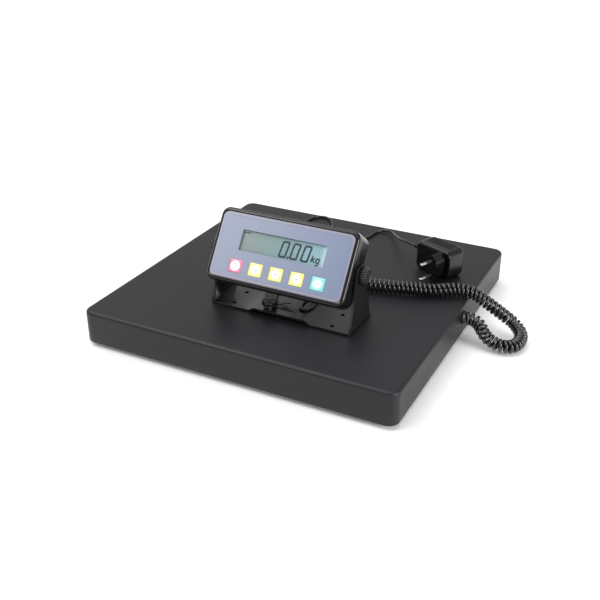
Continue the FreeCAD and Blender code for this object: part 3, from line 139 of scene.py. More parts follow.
def add_node(tree, kind, settings):
    """One more node in a finish, with its inputs set."""
    node = tree.nodes.new(f"ShaderNode{kind}")
    for entry, value in settings.items():
        node.inputs[entry].default_value = value
    return node


def join(tree, *steps):
    """Joins each node's output to another node's input."""
    for source, output, target, entry in steps:
        tree.links.new(source.outputs[output], target.inputs[entry])


def cord_finish(name, colour, roughness, coat, flecks):
    """Plasticised PVC: slightly uneven gloss, faint handling marks."""
    material, tree, shader, place = new_finish(name)
    shader.inputs["Base Color"].default_value = (*colour, 1)
    shader.inputs["Coat Weight"].default_value = coat
    shader.inputs["Coat Roughness"].default_value = 0.16
    cloud = add_node(tree, "TexNoise", {"Scale": flecks, "Detail": 4})
    gloss = add_node(tree, "MapRange", {"To Min": roughness - 0.07, "To Max": roughness + 0.1})
    bump = add_node(tree, "Bump", {"Strength": 0.12, "Distance": 0.0002})
    join(tree, (place, "Object", cloud, "Vector"), (cloud, "Fac", gloss, "Value"),
         (gloss, "Result", shader, "Roughness"), (cloud, "Fac", bump, "Height"),
         (bump, "Normal", shader, "Normal"))
    return material


def cord_tube(line, name, thickness, sides, material):
    """Gives the line its round section as a mesh, and keeps the points that it follows."""
    path = read_line(line)
    line.data.bevel_depth = thickness / 2
    line.data.bevel_resolution = sides
    skin = bpy.data.meshes.new_from_object(line)
    skin.name = name
    for face in skin.polygons:
        face.use_smooth = True
    skin.materials.clear()
    skin.materials.append(material)
    tube = bpy.data.objects.new(name, skin)
    bpy.context.scene.collection.objects.link(tube)
    bpy.data.objects.remove(line)
    return tube, path


pivot = Vector((0.0176, -0.083, 0.1068))
lean = math.radians(34.5)
up_face = Vector((0, math.sin(lean), math.cos(lean)))
out_face = Vector((0, -math.cos(lean), math.sin(lean)))
face_frame = Matrix((
    (1, 0, 0, pivot.x),
    (0, up_face.y, out_face.y, pivot.y),
    (0, up_face.z, out_face.z, pivot.z),
    (0, 0, 0, 1)))

gland_across, relief_tip = Vector((0.02, 0, 0)), 0.0225
coil_mouth = pivot + gland_across - out_face * relief_tip
coil_guide = rope_curve("coil_guide", COIL_ROUTE)
coil_frames = line_frames(read_line(coil_guide))
bpy.data.objects.remove(coil_guide)
coil_length = coil_frames[-1][0]
coil_wire, coil_reach, close_pitch, first_angle = 0.0043, 0.0058, 0.0053, math.radians(200)
flare_length, flare_start, wound_spread = 0.005, 0.02, 1.03
turn_points, coil_from, coil_to = 12, 0.004, coil_length - 0.0015
# Where along the coil its turns stand apart or press together: share of the length, spread, change.
uneven_turns = ((0.63, 0.02, 0.0008), (0.93, 0.035, 0.0007), (0.76, 0.07, -0.0005))
cord_points = [coil_mouth, coil_mouth - out_face * 0.008, coil_mouth - out_face * 0.016]
travelled, angle = coil_from, first_angle
while travelled < coil_to:
    middle, side, over = frame_at(coil_frames, travelled)
    opened = min(1, (travelled - coil_from) / flare_length)
    reach = coil_reach * max(opened, flare_start) * wound_spread
    cord_points.append(middle + (side * math.cos(angle) + over * math.sin(angle)) * reach)
    share = travelled / coil_length
    pitch = close_pitch + 0.0003 * math.sin(share * 31)
    for where, spread, extra in uneven_turns:
        pitch += extra * math.exp(-((share - where) / spread) ** 2)
    travelled += pitch / turn_points
    angle += 2 * math.pi / turn_points
for back in (0, -0.003, -0.006):
    cord_points.append(Vector(COIL_ROUTE[-1]) + Vector((back, 0, 0)))
coil_line = rope_curve("coil_line", cord_points)
coil_line.data.resolution_u = 4
coil_black = cord_finish("coil_black", (0.0022, 0.0022, 0.0026), 0.19, 0.55, 260)
curly_cord, coil_path = cord_tube(coil_line, "curly_cord_wound", coil_wire, 3, coil_black)
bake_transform(curly_cord)
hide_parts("curly_cord")

# ------------------------------------------------------------ adapter's lead
# Thin two-core lead from the indicator's barrel plug to the mains adapter. Its spare length is
# folded into a flat hank under the indicator, and the rest waves over the platform.
PLUG_ROUTE = [
    (-0.01139, -0.06165, 0.0555), (-0.017, -0.04962, 0.0555), (-0.012, -0.038, 0.0546),
    (0.004, -0.033, 0.0536), (0.021, -0.0325, 0.0532), (0.033, -0.042, 0.0526), (0.034, -0.056, 0.0524),
    (0.0315, -0.07, 0.0524), (0.0325, -0.0825, 0.0524), (0.0375, -0.0905, 0.0524),
    (0.0445, -0.088, 0.0524), (0.0465, -0.077, 0.0528), (0.0445, -0.064, 0.055),
    (0.039, -0.052, 0.0575), (0.032, -0.0415, 0.0595), (0.025, -0.032, 0.065),
    (0.0186, -0.03586, 0.0744), (0.0186, -0.04575, 0.0812)]
HANK_FOLDS = [
    (0.005, 0.017, 0.0015), (0.0056, 0.002, 0.0018), (0.0057, -0.012, 0.002), (0.0038, -0.0205, 0.002),
    (-0.0014, -0.0223, 0.0021), (-0.0053, -0.018, 0.0021), (-0.0057, -0.006, 0.0022),
    (-0.0056, 0.008, 0.0019), (-0.0048, 0.019, 0.0007), (-0.0016, 0.0225, 0.0001), (0.0018, 0.019, 0.0001),
    (0.0024, 0.008, 0.0001), (0.0024, -0.007, 0), (0.0014, -0.0145, -0.0002), (-0.0016, -0.0168, -0.0003),
    (-0.0034, -0.013, -0.0002), (-0.0036, -0.002, 0.0001), (-0.0034, 0.01, -0.0003),
    (-0.0018, 0.0195, -0.0011), (0.0022, 0.0224, -0.0017), (0.0052, 0.018, -0.002),
    (0.0057, 0.005, -0.0021), (0.0057, -0.009, -0.0022), (0.0044, -0.0182, -0.0022),
    (-0.0006, -0.021, -0.0022), (-0.0052, -0.0172, -0.0022), (-0.0057, -0.005, -0.0021),
    (-0.0057, 0.007, -0.0019), (-0.0052, 0.017, -0.001)]
hank_turn = math.radians(25)
hank_frame = Matrix.Translation((-0.0051, -0.0852, 0.0555)) @ Matrix.Rotation(hank_turn, 4, "Z")
LEAD_ROUTE = [
    (0.0967, 0.11085, 0.0621), (0.08337, 0.1165, 0.0621), (0.0695, 0.1295, 0.0576),
    (0.057, 0.147, 0.0528), (0.0485, 0.1595, 0.0498), (0.0416, 0.1688, 0.048),
    (0.033, 0.173, 0.0467), (0.0244, 0.169, 0.0459), (0.0206, 0.159, 0.0458),
    (0.0195, 0.142, 0.0458), (0.011, 0.124, 0.0458), (-0.007, 0.114, 0.0458),
    (-0.025, 0.121, 0.0458), (-0.034, 0.14, 0.0458), (-0.041, 0.159, 0.0458),
    (-0.05, 0.1735, 0.0458), (-0.061, 0.1818, 0.0458), (-0.072, 0.1785, 0.0458),
    (-0.0775, 0.168, 0.0458), (-0.08, 0.149, 0.0458), (-0.0805, 0.122, 0.0458),
    (-0.074, 0.095, 0.0458), (-0.057, 0.072, 0.0458), (-0.036, 0.052, 0.0458),
    (-0.02, 0.031, 0.0458), (-0.014, 0.006, 0.0458), (-0.0165, -0.017, 0.0468),
    (-0.0215, -0.033, 0.051), (-0.02519, -0.05218, 0.0555), (-0.0191, -0.06524, 0.0555)]
lead_thickness, plug_tip, jack_across = 0.0033, 0.0305, Vector((0.001, 0, 0))
lead_mouth = pivot + jack_across - out_face * plug_tip
lead_points = [lead_mouth, lead_mouth - out_face * 0.007]
lead_points += PLUG_ROUTE[::-1] + [hank_frame @ Vector(fold) for fold in HANK_FOLDS] + LEAD_ROUTE[::-1]
lead_points.append((0.1, 0.10944, 0.0621))
lead_line = rope_curve("lead_line", lead_points)
lead_black = cord_finish("lead_black", (0.005, 0.005, 0.0055), 0.3, 0.15, 180)
adapter_lead, lead_path = cord_tube(lead_line, "adapter_lead_run", lead_thickness, 3, lead_black)
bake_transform(adapter_lead)
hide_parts("adapter_lead", "plug_lead", "lead_hank")


# ------------------------------------------------------------ twist tie
# Flat plastic tie with a wire core, wrapped once round the hank, its two ends twisted and left
# pointing to the right.
def strip_piece(name, middle, width, thickness, across):
    """A flat strip that follows a line, with its width along one steady direction."""
    mesh = bmesh.new()
    rows = []
    for number, point in enumerate(middle):
        near, far = middle[max(number - 1, 0)], middle[min(number + 1, len(middle) - 1)]
        ahead = (far - near).normalized()
        wide = width[number] if isinstance(width, list) else width
        flat = (across - ahead * across.dot(ahead)).normalized()
        thick = ahead.cross(flat).normalized()
        corners = ((-0.5, -0.5), (-0.2, -0.62), (0.2, -0.62), (0.5, -0.5),
                   (0.5, 0.5), (0.2, 0.62), (-0.2, 0.62), (-0.5, 0.5))
        rows.append([mesh.verts.new(point + flat * a * wide + thick * b * thickness) for a, b in corners])
    for first, last in zip(rows, rows[1:]):
        for number in range(8):
            after = (number + 1) % 8
            mesh.faces.new((first[number], first[after], last[after], last[number]))
    mesh.faces.new(rows[0][::-1])
    mesh.faces.new(rows[-1])
    return finish_mesh(name, mesh)


def finish_mesh(name, mesh, smooth=35):
    """Turns edited geometry into a piece, smooth except at its real edges."""
    bmesh.ops.recalc_face_normals(mesh, faces=mesh.faces)
    data = bpy.data.meshes.new(name)
    mesh.to_mesh(data)
    mesh.free()
    data.shade_smooth()
    data.set_sharp_from_angle(angle=math.radians(smooth))
    piece = bpy.data.objects.new(name, data)
    bpy.context.scene.collection.objects.link(piece)
    return piece


def tones(tree, dark, light, start=0, end=1):
    """A ramp from one colour to another."""
    ramp = tree.nodes.new("ShaderNodeValToRGB")
    for stop, colour, spot in zip(ramp.color_ramp.elements, (dark, light), (start, end)):
        stop.color = (*colour, 1)
        stop.position = spot
    return ramp


def plastic(name, colour, roughness, grain, depth, coat=0.0, shade=0.25, shine=0.5):
    """Moulded plastic: mould texture as a fine bump, and a gloss that varies with handling."""
    material, tree, shader, place = new_finish(name)
    shader.inputs["Coat Weight"].default_value = coat
    shader.inputs["Coat Roughness"].default_value = 0.12
    shader.inputs["Specular IOR Level"].default_value = shine
    fine = add_node(tree, "TexNoise", {"Scale": grain, "Detail": 3})
    broad = add_node(tree, "TexNoise", {"Scale": 28, "Detail": 5})
    light = [min(channel * (1 + shade), 1) for channel in colour]
    tint = tones(tree, [channel * (1 - shade) for channel in colour], light, 0.3, 0.7)
    gloss = add_node(tree, "MapRange", {"From Min": 0.3, "From Max": 0.7, "To Max": roughness + 0.08,
                                        "To Min": max(roughness - 0.06, 0.04)})
    bump = add_node(tree, "Bump", {"Strength": 0.35, "Distance": depth})
    join(tree, (place, "Object", fine, "Vector"), (place, "Object", broad, "Vector"),
         (broad, "Fac", tint, "Fac"), (tint, "Color", shader, "Base Color"), (broad, "Fac", gloss, "Value"),
         (gloss, "Result", shader, "Roughness"), (fine, "Fac", bump, "Height"),
         (bump, "Normal", shader, "Normal"))
    return material


def dress(piece, material):
    """Puts one finish on a piece or on a carried-over solid."""
    piece.data.materials.clear()
    piece.data.materials.append(material)
    return piece


tie_black = plastic("tie_black", (0.004, 0.004, 0.0045), 0.3, 900, 0.0001)
tie_sheet, tie_half_width, tie_half_height, tie_place = 0.0007, 0.0076, 0.0041, -0.011
tie_loop = []
for step in range(33):
    turn = 2 * math.pi * step / 32
    wave = Vector((math.cos(turn), 0, math.sin(turn)))
    squared = 1 / max(abs(wave.x), abs(wave.z), 0.86)
    round_hank = Vector((wave.x * tie_half_width, 0, wave.z * tie_half_height)) * squared
    tie_loop.append(hank_frame @ (Vector((0, tie_place, 0)) + round_hank))
along_hank = hank_frame.to_3x3() @ Vector((0.1, 1, 0.1))
tie_band = dress(strip_piece("twist_tie_band", tie_loop, 0.0042, tie_sheet, along_hank), tie_black)
tie_ends = []
end_widths = [0.002, 0.0034, 0.0042, 0.0044, 0.0042, 0.0038, 0.003, 0.002, 0.0006]
for name, reach, bend, lift in (("twist_tie_front_end", 0.0222, -0.0118, 0.0006),
                                ("twist_tie_rear_end", 0.0165, 0.0022, 0.0016)):
    way = []
    for share in [step / 8 for step in range(9)]:
        rise = -0.0031 + lift * math.sin(3 * share)
        way.append(hank_frame @ Vector((0.0078 + reach * share, tie_place + bend * share ** 1.3, rise)))
    tie_ends.append(dress(strip_piece(name, way, end_widths, tie_sheet, along_hank), tie_black))
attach(tie_band, "platform")
for end in tie_ends:
    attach(end, "platform")
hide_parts("hank_tie")


# ------------------------------------------------------------ platform cover
# Square pressed steel tray, folded down at its edges and welded at the corners, with a fine
# charcoal texture paint baked on. It is the weighing surface.
def rounded_loop(width, depth, radius, steps=8, x=0.0, y=0.0):
    """Corners of a round-cornered rectangle, anticlockwise."""
    loop = []
    for turn, (across, along) in enumerate(((1, 1), (-1, 1), (-1, -1), (1, -1))):
        centre_x = x + across * (width / 2 - radius)
        centre_y = y + along * (depth / 2 - radius)
        for step in range(steps + 1):
            angle = math.pi / 2 * (turn + step / steps)
            loop.append((centre_x + radius * math.cos(angle), centre_y + radius * math.sin(angle)))
    return loop


def lofted(name, rings, smooth=35):
    """A closed skin through rings of points, capped at both ends."""
    mesh = bmesh.new()
    rows = [[mesh.verts.new(point) for point in ring] for ring in rings]
    for first, last in zip(rows, rows[1:]):
        for number in range(len(first)):
            after = (number + 1) % len(first)
            mesh.faces.new((first[number], first[after], last[after], last[number]))
    mesh.faces.new(rows[0][::-1])
    mesh.faces.new(rows[-1])
    return finish_mesh(name, mesh, smooth)


def texture_paint(name, colour, roughness, grain, depth, edge):
    """Baked texture paint: small pimples, faint cloudiness, and a painted highlight that lightens the sharp
    edges.
    """
    material, tree, shader, place = new_finish(name)
    shader.inputs["Specular IOR Level"].default_value = 0.34
    pimples = add_node(tree, "TexNoise", {"Scale": grain, "Detail": 2})
    cloud = add_node(tree, "TexNoise", {"Scale": 9, "Detail": 6})
    tint = tones(tree, [c * 0.86 for c in colour], [c * 1.12 for c in colour], 0.35, 0.68)
    shape = tree.nodes.new("ShaderNodeNewGeometry")
    # Painted highlight: the colour is lightened where the surface is sharply convex, standing in for light
    # caught along the edges.
    edge_highlight_mask = add_node(tree, "MapRange", {"From Min": 0.52, "From Max": 0.62, "To Max": edge})
    edge_highlight_mix = add_node(tree, "MixRGB", {"Color2": (*[min(c * 3.2, 1) for c in colour], 1)})
    gloss = add_node(tree, "MapRange", {"From Min": 0.3, "From Max": 0.7, "To Min": roughness - 0.05,
                                        "To Max": roughness + 0.06})
    bump = add_node(tree, "Bump", {"Strength": 0.45, "Distance": depth})
    join(tree, (place, "Object", pimples, "Vector"), (place, "Object", cloud, "Vector"),
         (cloud, "Fac", tint, "Fac"), (shape, "Pointiness", edge_highlight_mask, "Value"), (edge_highlight_mask, "Result", edge_highlight_mix, "Fac"),
         (tint, "Color", edge_highlight_mix, "Color1"), (edge_highlight_mix, "Color", shader, "Base Color"),
         (cloud, "Fac", gloss, "Value"), (gloss, "Result", shader, "Roughness"),
         (pimples, "Fac", bump, "Height"), (bump, "Normal", shader, "Normal"))
    return material


cover_size, cover_round, cover_fold, cover_sheet, cover_top = 0.38, 0.012, 0.004, 0.002, 0.044
cover_rings = []
for inset, level in ((0.186, cover_top - cover_sheet), (cover_sheet + cover_fold, cover_top - cover_sheet),
                     (cover_sheet, 0.038), (cover_sheet, 0.0053), (cover_sheet * 0.5, 0.005),
                     (0.0003, 0.0053), (0, 0.006), (0, 0.02), (0, 0.036)):
    corner = max(cover_round - inset, 0.003)
    loop = rounded_loop(cover_size - 2 * inset, cover_size - 2 * inset, corner)
    cover_rings.append([(x, y, level) for x, y in loop])
for step in range(9):
    turn = math.pi / 2 * step / 8
    inset = cover_fold * (1 - math.cos(turn))
    level = cover_top - cover_fold + cover_fold * math.sin(turn)
    loop = rounded_loop(cover_size - 2 * inset, cover_size - 2 * inset, cover_round - inset)
    cover_rings.append([(x, y, level) for x, y in loop])
for inset in (0.006, 0.05, 0.12):
    loop = rounded_loop(cover_size - 2 * inset, cover_size - 2 * inset, 0.006)
    cover_rings.append([(x, y, cover_top) for x, y in loop])
cover = lofted("pressed_cover", cover_rings, 60)
# The last value sets how strongly the painted highlight lightens the cover's edges.
charcoal = texture_paint("charcoal_texture", (0.008, 0.0077, 0.0102), 0.42, 900, 0.00022, 0.3)
dress(cover, charcoal)
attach(cover, "platform")
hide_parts("platform_cover")


# ------------------------------------------------------------ frame under the cover
# Folded zinc-plated channels spot welded under the cover, the four load cells in their brackets,
# and the flat plate that closes the platform from below.
def plated(name, colour, roughness, streak):
    """Zinc-plated or ground steel: brushed streaks and dull clouds in the plating."""
    material, tree, shader, place = new_finish(name)
    shader.inputs["Metallic"].default_value = 1
    stretch = add_node(tree, "Mapping", {"Scale": streak})
    brushed = add_node(tree, "TexNoise", {"Scale": 60, "Detail": 6})
    tint = tones(tree, [c * 0.72 for c in colour], colour, 0.3, 0.65)
    gloss = add_node(tree, "MapRange", {"To Min": roughness - 0.08, "To Max": roughness + 0.12})
    bump = add_node(tree, "Bump", {"Strength": 0.15, "Distance": 0.0001})
    join(tree, (place, "Object", stretch, "Vector"), (stretch, "Vector", brushed, "Vector"),
         (brushed, "Fac", tint, "Fac"), (tint, "Color", shader, "Base Color"),
         (brushed, "Fac", gloss, "Value"), (gloss, "Result", shader, "Roughness"),
         (brushed, "Fac", bump, "Height"), (bump, "Normal", shader, "Normal"))
    return material


zinc = plated("zinc_plate", (0.56, 0.57, 0.58), 0.36, (1, 6, 1))
ground_steel = plated("ground_steel", (0.62, 0.62, 0.61), 0.3, (9, 1, 1))
for name in ("long_rails", "cross_rails", "bottom_plate", "cell_brackets", "foot_cups", "gland_nut"):
    dress(nodes[name], zinc)
for name in ("load_cell_front_left", "load_cell_front_right", "load_cell_rear_left", "load_cell_rear_right"):
    dress(nodes[name], ground_steel)
natural_nylon = plastic("natural_nylon", (0.62, 0.6, 0.54), 0.5, 700, 0.0001, shade=0.06)
for name in ("plate_spacers", "summing_board_spacers", "friction_washers"):
    dress(nodes[name], natural_nylon)
grey_sheath = plastic("grey_sheath", (0.11, 0.11, 0.12), 0.45, 600, 0.0001)
dress(nodes["platform_wiring"], grey_sheath)


# ------------------------------------------------------------ feet
# Four moulded rubber feet pressed into plated cups under the load cells. The raised ring on each
# sole grips the table.
def turned(name, profile, centre, axis, sides=48, flutes=0, groove=0.0, smooth=35):
    """Revolves (along, radius) steps round an axis. Flutes dent the rim where radius is tagged."""
    axis = axis.normalized()
    side = axis.orthogonal().normalized()
    over = axis.cross(side)
    rings = []
    for step in profile:
        along, radius = step[0], step[1]
        ring = []
        for number in range(sides):
            angle = 2 * math.pi * number / sides
            fluted = flutes and len(step) > 2
            dent = groove * (0.5 + 0.5 * math.cos(flutes * angle)) ** 3 if fluted else 0
            spread = max(radius - dent, 0.00001)
            ring.append(centre + axis * along + (side * math.cos(angle) + over * math.sin(angle)) * spread)
        rings.append(ring)
    return lofted(name, rings, smooth)


foot_rubber = plastic("foot_rubber", (0.022, 0.022, 0.022), 0.78, 1400, 0.0003)
foot_profile = [
    (0.0007, 0.0004), (0.0007, 0.009), (0, 0.0095), (0, 0.0141), (0.0004, 0.0151), (0.0014, 0.0155),
    (0.0036, 0.0155), (0.0043, 0.0152), (0.0045, 0.0146), (0.0045, 0.006), (0.007, 0.0059), (0.007, 0.0004)]
for name in ("front_left", "front_right", "rear_left", "rear_right"):
    low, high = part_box(f"rubber_foot_{name}")
    spot = Vector(((low.x + high.x) / 2, (low.y + high.y) / 2, 0))
    foot = dress(turned(f"moulded_foot_{name}", foot_profile, spot, Vector((0, 0, 1))), foot_rubber)
    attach(foot, "platform")
    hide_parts(f"rubber_foot_{name}")


# ------------------------------------------------------------ screws
# Zinc-plated pan-head machine screws with a cross recess, as sold in bulk: they hold the bottom
# plate, the boards and the two halves of the indicator's housing.
def cross_recess(angle, reach, half):
    """Radius of a cross-shaped recess in one direction."""
    across, along = max(abs(math.cos(angle)), 1e-6), max(abs(math.sin(angle)), 1e-6)
    return max(min(reach / across, half / along), min(reach / along, half / across))


def pan_heads(name, spots, seat_axis, head, rise, shank, length, material):
    """Several equal screws as one piece. seat_axis points out of the head."""
    mesh = bmesh.new()
    axis = seat_axis.normalized()
    side = axis.orthogonal().normalized()
    over = axis.cross(side)
    sides = 48
    for spot in spots:
        rows = []
        steps = [(-length, shank * 0.7), (-length + 0.0006, shank), (0, shank), (0, head)]
        steps += [(rise * 0.45, head), (rise * 0.8, head * 0.9), (rise, head * 0.72)]
        for along, radius in steps:
            rows.append([(along, radius)] * sides)
        angles = [2 * math.pi * number / sides for number in range(sides)]
        rows.append([(rise, cross_recess(a, head * 0.58, head * 0.15)) for a in angles])
        rows.append([(rise * 0.35, cross_recess(a, head * 0.42, head * 0.1)) for a in angles])
        made = []
        for row in rows:
            ring = []
            for (along, radius), a in zip(row, angles):
                around = side * math.cos(a) + over * math.sin(a)
                ring.append(mesh.verts.new(spot + axis * along + around * radius))
            made.append(ring)
        for first, last in zip(made, made[1:]):
            for number in range(sides):
                after = (number + 1) % sides
                mesh.faces.new((first[number], first[after], last[after], last[number]))
        mesh.faces.new(made[0][::-1])
        mesh.faces.new(made[-1])
    return dress(finish_mesh(name, mesh, 30), material)


screw_zinc = plated("screw_zinc", (0.5, 0.5, 0.51), 0.28, (1, 1, 1))
corners = [(across, along) for across in (-1, 1) for along in (-1, 1)]
plate_x, plate_y, plate_level = 0.128, 0.07, 0.008
plate_spots = [Vector((a * plate_x, b * plate_y, plate_level)) for a, b in corners]
plate_spots += [Vector((a * plate_x / 3, b * plate_y, plate_level)) for a, b in corners]
plate_screws = pan_heads("plate_pan_heads", plate_spots, Vector((0, 0, -1)), 0.0036, 0.0018, 0.002, 0.007,
                         screw_zinc)
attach(plate_screws, "platform")
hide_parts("plate_screws")
post_x, post_y, post_seat = 0.074, 0.032, 0.0019
rear_spots = [face_frame @ Vector((a * post_x, b * post_y, post_seat)) for a, b in corners]
rear_screws = pan_heads("housing_pan_heads", rear_spots, -out_face, 0.0024, 0.003, 0.0012, 0.012, screw_zinc)
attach(rear_screws, "indicator")
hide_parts("housing_screws")
dress(nodes["summing_board_screws"], screw_zinc)
dress(nodes["main_board_screws"], screw_zinc)


# ------------------------------------------------------------ boards
# Glass-fibre circuit boards with green solder mask. The summing board joins the four load cells,
# the main board carries the display and the key switches.
def solder_mask(name):
    """Green mask over copper: pale tracks in a square grid, glossy lacquer."""
    material, tree, shader, place = new_finish(name)
    shader.inputs["Roughness"].default_value = 0.32
    shader.inputs["Coat Weight"].default_value = 0.4
    tracks = add_node(tree, "TexBrick", {
        "Scale": 260, "Color1": (0.012, 0.1, 0.045, 1), "Color2": (0.018, 0.13, 0.06, 1),
        "Mortar": (0.05, 0.24, 0.12, 1), "Mortar Size": 0.03})
    join(tree, (place, "Object", tracks, "Vector"), (tracks, "Color", shader, "Base Color"))
    return material


green_mask = solder_mask("green_mask")
for name in ("summing_board", "main_board", "adapter_board"):
    dress(nodes[name], green_mask)
switch_black = plastic("switch_black", (0.02, 0.02, 0.02), 0.5, 700, 0.0001)
for name in ("key_switches", "power_jack"):
    dress(nodes[name], switch_black)
dress(nodes["battery_clip"], ground_steel)


# ------------------------------------------------------------ stand
# Bent from one 2.5 mm steel strip and finished in gloss black: two upright arms, a base with a
# raised middle that stiffens it, and four holes for screwing it to a wall.
def softened(node, name, edge, angle=32, segments=2):
    """The node's own solid as a new piece, with clean flats and its sharp edges eased."""
    mesh = bmesh.new()
    mesh.from_mesh(nodes[node].data)
    bmesh.ops.remove_doubles(mesh, verts=mesh.verts, dist=0.00001)
    bmesh.ops.dissolve_limit(mesh, angle_limit=math.radians(0.7), verts=mesh.verts, edges=mesh.edges)
    data = bpy.data.meshes.new(name)
    mesh.to_mesh(data)
    mesh.free()
    data.shade_smooth()
    data.set_sharp_from_angle(angle=math.radians(45))
    piece = bpy.data.objects.new(name, data)
    bpy.context.scene.collection.objects.link(piece)
    ease = piece.modifiers.new("eased_edges", "BEVEL")
    ease.width = edge
    ease.segments = segments
    ease.limit_method = "ANGLE"
    ease.angle_limit = math.radians(angle)
    ease.harden_normals = True
    return piece


# The last value sets how strongly the painted highlight lightens the stand's edges.
stand_black = texture_paint("stand_black", (0.006, 0.0058, 0.0068), 0.3, 1500, 0.00005, 0.3)
stand_black.node_tree.nodes["Principled BSDF"].inputs["Coat Weight"].default_value = 0.4
stand = dress(softened("stand_bracket", "bent_stand", 0.0005), stand_black)
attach(stand, "platform")
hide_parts("stand_bracket")

# ------------------------------------------------------------ pivot knobs
# Fluted plastic knobs moulded over steel studs, screwed into brass inserts in the housing's
# sides through the stand's arms. Loosened, they let the indicator tilt.
knob_black = plastic("knob_black", (0.004, 0.004, 0.0045), 0.3, 800, 0.00015, coat=0.15)
brass_turned = plated("brass_turned", (0.72, 0.56, 0.27), 0.3, (1, 1, 1))
for side, way in (("left", -1), ("right", 1)):
    low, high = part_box(f"pivot_knob_{side}")
    inner = high.x if way < 0 else low.x
    knob_profile = [
        (0, 0.0004), (0, 0.0078), (0.0004, 0.0088), (0.0012, 0.0093, 1), (0.002, 0.0095, 1),
        (0.006, 0.0095, 1), (0.0069, 0.0091, 1), (0.0073, 0.0082), (0.0075, 0.0072), (0.0074, 0.0062),
        (0.0069, 0.0058), (0.0068, 0.0004)]
    knob = turned(f"fluted_knob_{side}", knob_profile, Vector((inner, pivot.y, pivot.z)), Vector((way, 0, 0)),
                  sides=120, flutes=20, groove=0.0009, smooth=40)
    dress(knob, knob_black)
    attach(knob, f"knob_{side}")
    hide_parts(f"pivot_knob_{side}")
    dress(nodes[f"pivot_stud_{side}"], screw_zinc)
dress(nodes["pivot_inserts"], brass_turned)

# ------------------------------------------------------------ indicator housing
# Two moulded halves in gloss black, screwed together from the back. The front half has a
# recess for the printed face, the rear half a battery bay with its door and bevelled edges.
housing_black = plastic("housing_black", (0.003, 0.003, 0.0036), 0.2, 500, 0.00008, coat=0.12, shine=0.34)
front_half = dress(softened("front_housing", "front_half", 0.0003, angle=38), housing_black)
rear_half = dress(softened("rear_housing", "rear_half", 0.0005, angle=25), housing_black)
door = dress(softened("battery_door", "battery_door_leaf", 0.0003, angle=38), housing_black)
for piece, node, body in ((front_half, "front_housing", "indicator"),
                          (rear_half, "rear_housing", "indicator"), (door, "battery_door", "battery_door")):
    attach(piece, body)
    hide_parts(node)


# ------------------------------------------------------------ printed face
# Polyester overlay, printed from behind: a silver border, a fine dark line, and a lavender
# field with openings for the display and the five keys.
def cut_sheet(mesh, outline, holes, low, high, finish):
    """Adds one flat sheet with holes to the mesh, between two levels."""
    loops = [outline] + holes
    flat = [Vector((x, y, 0)) for loop in loops for x, y in loop]
    for level, flipped in ((high, False), (low, True)):
        verts = [mesh.verts.new((point.x, point.y, level)) for point in flat]
        for corners in tessellate_polygon([[Vector((x, y, 0)) for x, y in loop] for loop in loops]):
            ordered = corners[::-1] if flipped else corners
            mesh.faces.new([verts[number] for number in ordered]).material_index = finish
        if flipped:
            lower = verts
        else:
            upper = verts
    start = 0
    for loop in loops:
        for number in range(len(loop)):
            a, b = start + number, start + (number + 1) % len(loop)
            mesh.faces.new((upper[a], upper[b], lower[b], lower[a])).material_index = finish
        start += len(loop)


def on_face(piece, x=0.0, y=0.0, z=0.0):
    """Stands a piece drawn flat on the indicator's tilted face."""
    piece.matrix_world = face_frame @ Matrix.Translation((x, y, z))
    return piece


def film(name, left, right, span, roughness, fleck):
    """Printed film: a tint that runs from the left colour to the right colour across the piece, which is
    painted shading of the light where the two differ, with a fine satin grain.
    """
    material, tree, shader, place = new_finish(name)
    shader.inputs["Coat Weight"].default_value = 0.25
    shader.inputs["Coat Roughness"].default_value = 0.3
    parts = tree.nodes.new("ShaderNodeSeparateXYZ")
    across = add_node(tree, "MapRange", {"From Min": -span, "From Max": span})
    # Left-to-right ramp between the two colours: painted light, with one side of the face drawn lighter than
    # the other.
    tint = tones(tree, left, right)
    grain = add_node(tree, "TexNoise", {"Scale": fleck, "Detail": 2})
    gloss = add_node(tree, "MapRange", {"To Min": roughness - 0.08, "To Max": roughness + 0.08})
    bump = add_node(tree, "Bump", {"Strength": 0.12, "Distance": 0.00005})
    join(tree, (place, "Object", parts, "Vector"), (parts, "X", across, "Value"),
         (across, "Result", tint, "Fac"), (tint, "Color", shader, "Base Color"),
         (place, "Object", grain, "Vector"),
         (grain, "Fac", gloss, "Value"), (gloss, "Result", shader, "Roughness"),
         (grain, "Fac", bump, "Height"), (bump, "Normal", shader, "Normal"))
    return material


first_key, key_pitch, key_row, window_middle = -0.0495, 0.02494, -0.022, 0.00765
face_level, film_back = 0.0225, 0.0221
key_places = [(first_key + key_pitch * number, key_row) for number in range(5)]
key_holes = [rounded_loop(0.0159, 0.0149, 0.0008, 2, x, y) for x, y in key_places]
window_hole = rounded_loop(0.102, 0.0235, 0.0008, 2, 0, window_middle)
face_mesh = bmesh.new()
outer_edge = rounded_loop(0.1585, 0.0726, 0.0065, 8)
line_edge = rounded_loop(0.1529, 0.067, 0.0045, 8)
field_edge = rounded_loop(0.1522, 0.0663, 0.0042, 8)
cut_sheet(face_mesh, outer_edge, [line_edge], film_back, face_level, 0)
cut_sheet(face_mesh, line_edge, [field_edge], film_back, 0.02249, 1)
cut_sheet(face_mesh, field_edge, [window_hole] + key_holes, film_back, face_level, 2)
overlay = finish_mesh("printed_overlay", face_mesh, 30)
# Each print is painted lighter on the left and darker on the right, as painted shade across the face.
for name, left, right, gloss in (("silver_border", (0.29, 0.29, 0.365), (0.21, 0.215, 0.28), 0.4),
                                 ("border_line", (0.12, 0.12, 0.2), (0.1, 0.1, 0.17), 0.4),
                                 ("lavender_field", (0.25, 0.277, 0.37), (0.15, 0.19, 0.29), 0.42)):
    overlay.data.materials.append(film(name, left, right, 0.08, gloss, 3000))
on_face(overlay)
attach(overlay, "indicator")
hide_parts("keypad_overlay")

